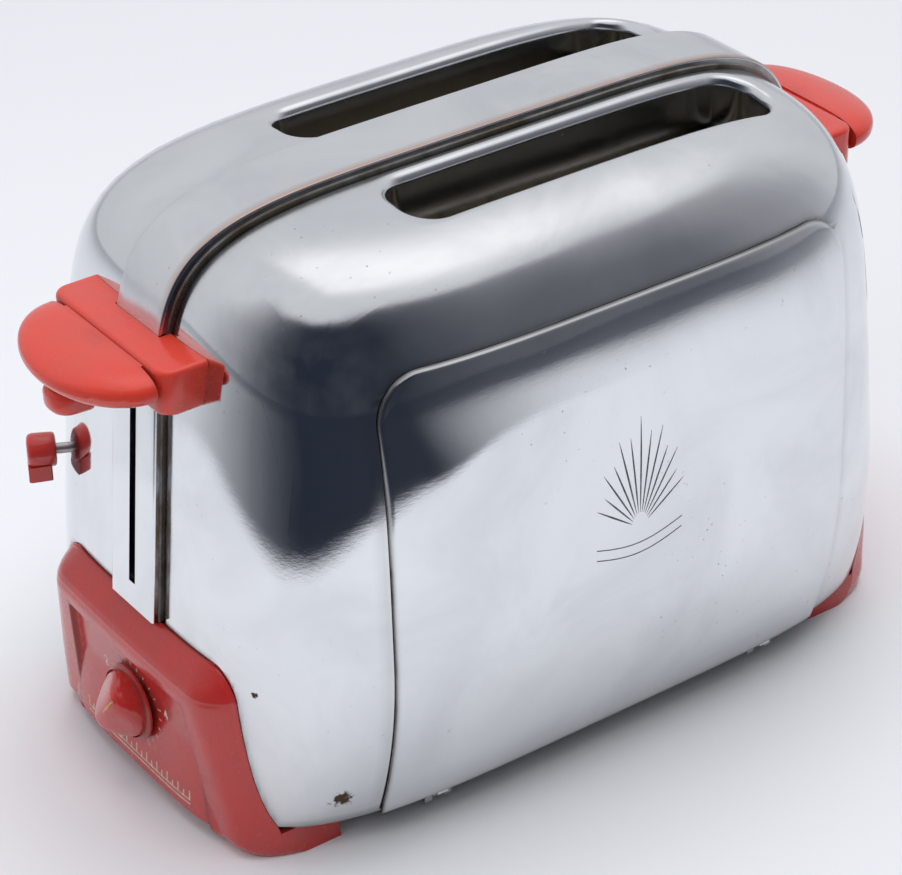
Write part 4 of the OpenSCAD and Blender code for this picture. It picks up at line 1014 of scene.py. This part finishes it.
for k in range(-10, 11):
    ink += stroke([(k * 2.8, 10.4), (k * 2.8, 12.2 if k % 2 else 13.4)], 0.5, panel_at, 0.3)
for z in (10.4, 8.8):
    ink += stroke([(y, z) for y in np.linspace(-28.0, 28.0, 15)], 0.45, panel_at, 0.3)
iv, iface, _ = joined(ink)
panel_marks = make_piece("panel_marks", iv, iface, "chassis", (), [cream_ink], smooth_on=False)


def door_at(x, z, lift):
    """Point of the near door's outer face."""
    return (x, -float(flank_y(x, z, FIT + DOOR_WALL)) - lift, z)


cuts = []
for k in range(13):
    a = math.radians(-66 + 132 * k / 12)
    far = 36.0 - 9.0 * abs(k - 6) / 6 - (3.5 if k % 2 else 0)
    c, d = math.sin(a), math.cos(a)
    steps = np.linspace(5.0, far, 9)
    wide = 0.24 * np.abs(np.sin(np.pi * (steps - 5.0) / (far - 5.0))) ** 0.6 + 0.04
    rings = []
    for q, w in zip(steps, wide):
        x, z = q * c * 0.62, 82.0 + q * d
        rings.append([door_at(x - w * d, z + w * c, -0.4), door_at(x - w * d, z + w * c, 0.03),
                      door_at(x + w * d, z - w * c, 0.03), door_at(x + w * d, z - w * c, -0.4)])
    cuts.append(lofted([np.array(g) for g in rings]))
for bow in (0.0, 3.4):
    line = [(-15.0 + 30.0 * t, 80.0 - bow - 3.0 * math.sin(math.pi * t)) for t in np.linspace(0, 1, 13)]
    cuts += stroke(line, 0.30, door_at, 0.4)
gv, gf, _ = joined(cuts)
door_engraving = make_piece("door_engraving", gv, gf, "near_door", (), [engraved], smooth_on=False)


# ---- lever knob ----
def rounded_slab(z0, z1, outline, r, n=6, lean=0.0):
    """Closed solid over a convex outline with rounded upper and lower edges."""
    c = outline.mean(0)
    rings = []
    for z, cutb in rounded_levels(z0, z1, r, n):
        d = outline - c
        k = 1 - cutb / np.maximum(np.linalg.norm(d, axis=1, keepdims=True), 1e-6)
        p = c + d * k
        p[:, 0] += lean * (z - z0)
        rings.append(np.column_stack([p, np.full(len(p), z)]))
    return lofted(rings)


t = np.radians(np.linspace(-90, 90, 33))
KNOB_IN, KNOB_OUT, KNOB_HW, KNOB_LOW, KNOB_TOP = 127.0, 139.0, 6.5, 132.0, 139.0
knob_outline = np.vstack([np.stack([-KNOB_OUT + KNOB_HW - KNOB_HW * np.abs(np.cos(t)) ** 0.85,
                                    KNOB_HW * np.sign(np.sin(t)) * np.abs(np.sin(t)) ** 0.9], -1),
                          [[-KNOB_IN - 1.2, KNOB_HW], [-KNOB_IN - 0.4, KNOB_HW - 0.8],
                           [-KNOB_IN - 0.4, 0.8 - KNOB_HW], [-KNOB_IN - 1.2, -KNOB_HW]]])
knob = rounded_slab(KNOB_LOW, KNOB_TOP, knob_outline, 2.2, lean=-0.02)
lever_knob_skin = make_piece("lever_knob_moulding", knob[0], knob[1], "carriage_group", ["lever_knob"],
                             [red_handle], marks={"dirt": np.zeros(len(knob[0]))})
tidy_mesh(lever_knob_skin)

# ---- release button ----
BUTTON_LOW = 3.4
turn_r = math.radians(26)
out_dir = np.array([-math.cos(turn_r), math.sin(turn_r), 0.0])
side_dir = np.array([-math.sin(turn_r), -math.cos(turn_r), 0.0])
foot = np.array([-float(end_x(48.0, 86.0)), 48.0, 86.0])


def placed(v):
    """Local points (down, sideways, outwards) put at the release button's axis."""
    v = np.asarray(v, float)
    return foot + v[:, :1] * np.array([0, 0, -1.0]) + v[:, 1:2] * side_dir + (v[:, 2:3] + BUTTON_LOW) * out_dir


def turned(prof, n=40):
    """Points of a turned solid about the local outward axis, from radius and height pairs."""
    t = np.linspace(0, 2 * np.pi, n, endpoint=False)
    rings = [np.column_stack([r * np.cos(t), r * np.sin(t), np.full(n, h)]) for r, h in prof]
    return lofted(rings)


cap_v, cap_f = turned([(3.0, -0.2), (3.8, -0.1), (4.2, 0.0), (4.6, 0.1), (5.0, 0.6), (5.1, 2.0), (5.2, 6.6),
                       (4.9, 7.6), (4.1, 8.2), (2.4, 8.4)])
fin = []
for h, w in ((1.5, 4.6), (1.9, 5.0), (7.6, 5.5), (8.4, 5.0)):
    fin.append(np.array([[3.0, -w * 0.9, h], [3.0, w * 0.9, h], [7.6, w, h], [8.3, w * 0.8, h],
                         [8.3, -w * 0.8, h], [7.6, -w, h]]))
fin_v, fin_f = lofted(fin)
rv_, rf_, _ = joined([(placed(cap_v), cap_f), (placed(fin_v), fin_f)])
release = make_piece("release_button_moulding", rv_, rf_, "release_group", ["release_button"],
                     [red_moulding], marks={"dirt": np.zeros(len(rv_))})
tidy_mesh(release)

# ---- finishes of the carried-over nodes ----
plain = {"steel_parts": ["near_hinge_pins", "far_hinge_pins", "handle_screws", "base_screws", "guide_rod",
                         "carriage", "carriage_spring", "dial_shaft", "dial_bracket", "latch_hook", "latch_pin",
                         "release_stem", "release_guide"],
         "rack_wire": ["near_bread_rack", "far_bread_rack", "near_guard_grids", "far_guard_grids"],
         "inner_sheet": ["front_frame", "rear_frame", "near_door_catches", "far_door_catches"],
         "pan_sheet": ["base_pan"], "mica": ["near_outer_heater", "centre_heater", "far_outer_heater"],
         "copper": ["latch_coil"], "brass": ["bimetal_strip", "bus_bars"], "brown_block": ["switch_block"],
         "white_block": ["terminal_block"], "black_bush": ["cord_bush"], "rib_steel": ["band_rib"]}
finishes = {m.name: m for m in bpy.data.materials}
for mat, nodes in plain.items():
    for n in nodes:
        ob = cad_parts[n]
        ob.data.materials.clear() if not len(ob.data.materials) else None
        for k in range(len(ob.data.materials)):
            ob.data.materials[k] = finishes[mat]
        if not len(ob.data.materials):
            ob.data.materials.append(finishes[mat])


# ---- floor, light and camera ----
def flat_sheet(name, corners, mat):
    me = bpy.data.meshes.new(name)
    me.from_pydata(corners, [], [[0, 1, 2, 3]])
    ob = bpy.data.objects.new(name, me)
    me.materials.append(mat)
    bpy.context.collection.objects.link(ob)
    return ob


ROOM = [(-135.0, 0.70), (-118.0, 0.44), (-105.0, 0.28), (-92.0, 0.15), (-80.0, 0.085), (-68.0, 0.05), (-57.0, 0.03),
        (3.0, 0.034), (12.0, 0.062), (21.0, 0.088), (30.0, 0.125), (38.0, 0.17), (47.0, 0.29), (59.0, 0.39),
        (76.0, 0.62), (90.0, 0.70)]
TENT_LEVEL, NAVY = 0.70, (0.024, 0.030, 0.046, 1)


def room_level(shop, azim):
    """How dark the side towards the camera looks along an azimuth: 1 in the darkest part, 0 in the tent."""
    lo, hi = ROOM[0][0], ROOM[-1][0]
    n = shop.node("ShaderNodeValToRGB")
    shop.feed(n.inputs[0], (azim - lo) * (1.0 / (hi - lo)))
    for k, (at, level) in enumerate(ROOM):
        if k == 0:
            e = n.color_ramp.elements[0]
        elif k == len(ROOM) - 1:
            e = n.color_ramp.elements[len(ROOM) - 1]
        else:
            e = n.color_ramp.elements.new((at - lo) / (hi - lo))
        e.position = (at - lo) / (hi - lo)
        e.color = [1 - (level - 0.03) / (TENT_LEVEL - 0.03)] * 3 + [1]
    return Num(shop, n.outputs[0])


paper = bpy.data.materials.new("paper_floor")
paper.use_nodes = True
fs = Shop(paper.node_tree)
fx, fy, fz = fs.parts(fs.node("ShaderNodeTexCoord").outputs["Object"])
f_azim = fs.math("ARCTAN2", fx, fy * -1.0) * (180 / math.pi)
f_run = fs.math("SQRT", fx * fx + fy * fy, 0)
f_side = fs.ramp(f_azim, 0.0, 34.0)
f_edge = fs.ramp(f_run - 0.31 - f_side * 0.16, 0.0, 0.03) * (1 - f_side) + fs.ramp(f_run, 0.42, 1.3) * f_side
# Painted reflection: to glossy rays, the floor beyond about 0.31 m becomes a navy emission, as dark as the room along
# each azimuth, so the chrome reflects a dark room there
seen = Num(fs, fs.node("ShaderNodeLightPath").outputs["Is Glossy Ray"])
diff = fs.node("ShaderNodeBsdfDiffuse", None, Color=(0.80, 0.81, 0.84, 1))
far_dark = fs.node("ShaderNodeEmission", None, Color=NAVY, Strength=1.0)
floor_mix = fs.node("ShaderNodeMixShader", None, i0=fs.clip(seen * f_edge * room_level(fs, f_azim)),
                    i1=diff.outputs[0], i2=far_dark.outputs[0])
fo = fs.node("ShaderNodeOutputMaterial")
paper.node_tree.links.new(floor_mix.outputs[0], fo.inputs[0])
flat_sheet("floor", [(-6, -6, 0), (6, -6, 0), (6, 6, 0), (-6, 6, 0)], paper)

world = bpy.data.worlds.new("tent")
bpy.context.scene.world = world
world.use_nodes = True
ws = Shop(world.node_tree)
way = ws.node("ShaderNodeTexCoord").outputs["Generated"]
wx, wy, wz = ws.parts(way)
azim = ws.math("ARCTAN2", wx, wy * -1.0) * (180 / math.pi)
elev = ws.math("ARCSINE", wz, 0) * (180 / math.pi)
cloudy = ws.noise(way, 2.2, 3, 0.6)
wob = (cloudy - 0.5) * 9.0
rise = elev + wob * 0.5 + 17.0 * ws.ramp(azim, 14.0, 50.0)
opening = room_level(ws, azim + wob) * (1 - ws.ramp(rise, 62.0, 66.5))
tent = ws.blend(ws.ramp(elev, -10.0, 70.0), (0.62, 0.63, 0.66, 1), (0.72, 0.73, 0.76, 1))
overhead = ws.ramp(elev, 44.0, 66.0) * ws.ramp(azim, 40.0, 80.0)
tent = ws.blend(overhead, tent, (1.25, 1.25, 1.27, 1))
tent = ws.blend(ws.clip(opening * (0.94 + 0.1 * cloudy)), tent, NAVY)
ray = ws.node("ShaderNodeLightPath").outputs["Is Camera Ray"]
shown = ws.blend(Num(ws, ray), tent, (0.70, 0.71, 0.75, 1))
bg = ws.node("ShaderNodeBackground", None, Color=shown, Strength=1.0)
wo = ws.node("ShaderNodeOutputWorld")
world.node_tree.links.new(bg.outputs[0], wo.inputs[0])


def lamp(name, place, target, size, power, colour=(1, 1, 1), sheen=False):
    """Soft square area lamp aimed at a point, in metres and watts."""
    li = bpy.data.lights.new(name, "AREA")
    li.shape, li.size, li.energy, li.color = "SQUARE", size, power, colour
    ob = bpy.data.objects.new(name, li)
    bpy.context.collection.objects.link(ob)
    from mathutils import Vector
    d = Vector(target) - Vector(place)
    ob.location = place
    ob.rotation_euler = d.to_track_quat("-Z", "Y").to_euler()
    ob.visible_glossy = sheen
    return ob


lamp("top_box", (0.15, 0.05, 1.5), (0, 0, 0.1), 1.1, 10.0)
lamp("left_box", (-1.3, -0.1, 0.9), (0, 0, 0.1), 0.8, 4.0)
lamp("front_box", (-0.5, -0.9, 1.4), (0, 0, 0.05), 1.2, 6.5)

az, el, roll = math.radians(-35.349), math.radians(32.073), math.radians(-0.857)
back = np.array([math.sin(az) * math.cos(el), -math.cos(az) * math.cos(el), math.sin(el)])
rgt = np.array([math.cos(az), math.sin(az), 0.0])
up = np.cross(back, rgt)
r2 = rgt * math.cos(roll) + up * math.sin(roll)
u2 = -rgt * math.sin(roll) + up * math.cos(roll)
eye = (np.array([0, 0, 95.0]) + back * 902.326 + r2 * -6.266 + u2 * -19.529) * MM
cam_data = bpy.data.cameras.new("camera")
cam_data.sensor_width, cam_data.sensor_fit, cam_data.lens = 36.0, "HORIZONTAL", 3068.9 / 902 * 36.0
cam_data.clip_start, cam_data.clip_end = 0.05, 50.0
cam = bpy.data.objects.new("camera", cam_data)
bpy.context.collection.objects.link(cam)
from mathutils import Matrix
cam.matrix_world = Matrix([[r2[0], u2[0], back[0], eye[0]], [r2[1], u2[1], back[1], eye[1]],
                           [r2[2], u2[2], back[2], eye[2]], [0, 0, 0, 1]])
bpy.context.scene.camera = cam
bpy.context.scene.view_settings.view_transform = "Standard"
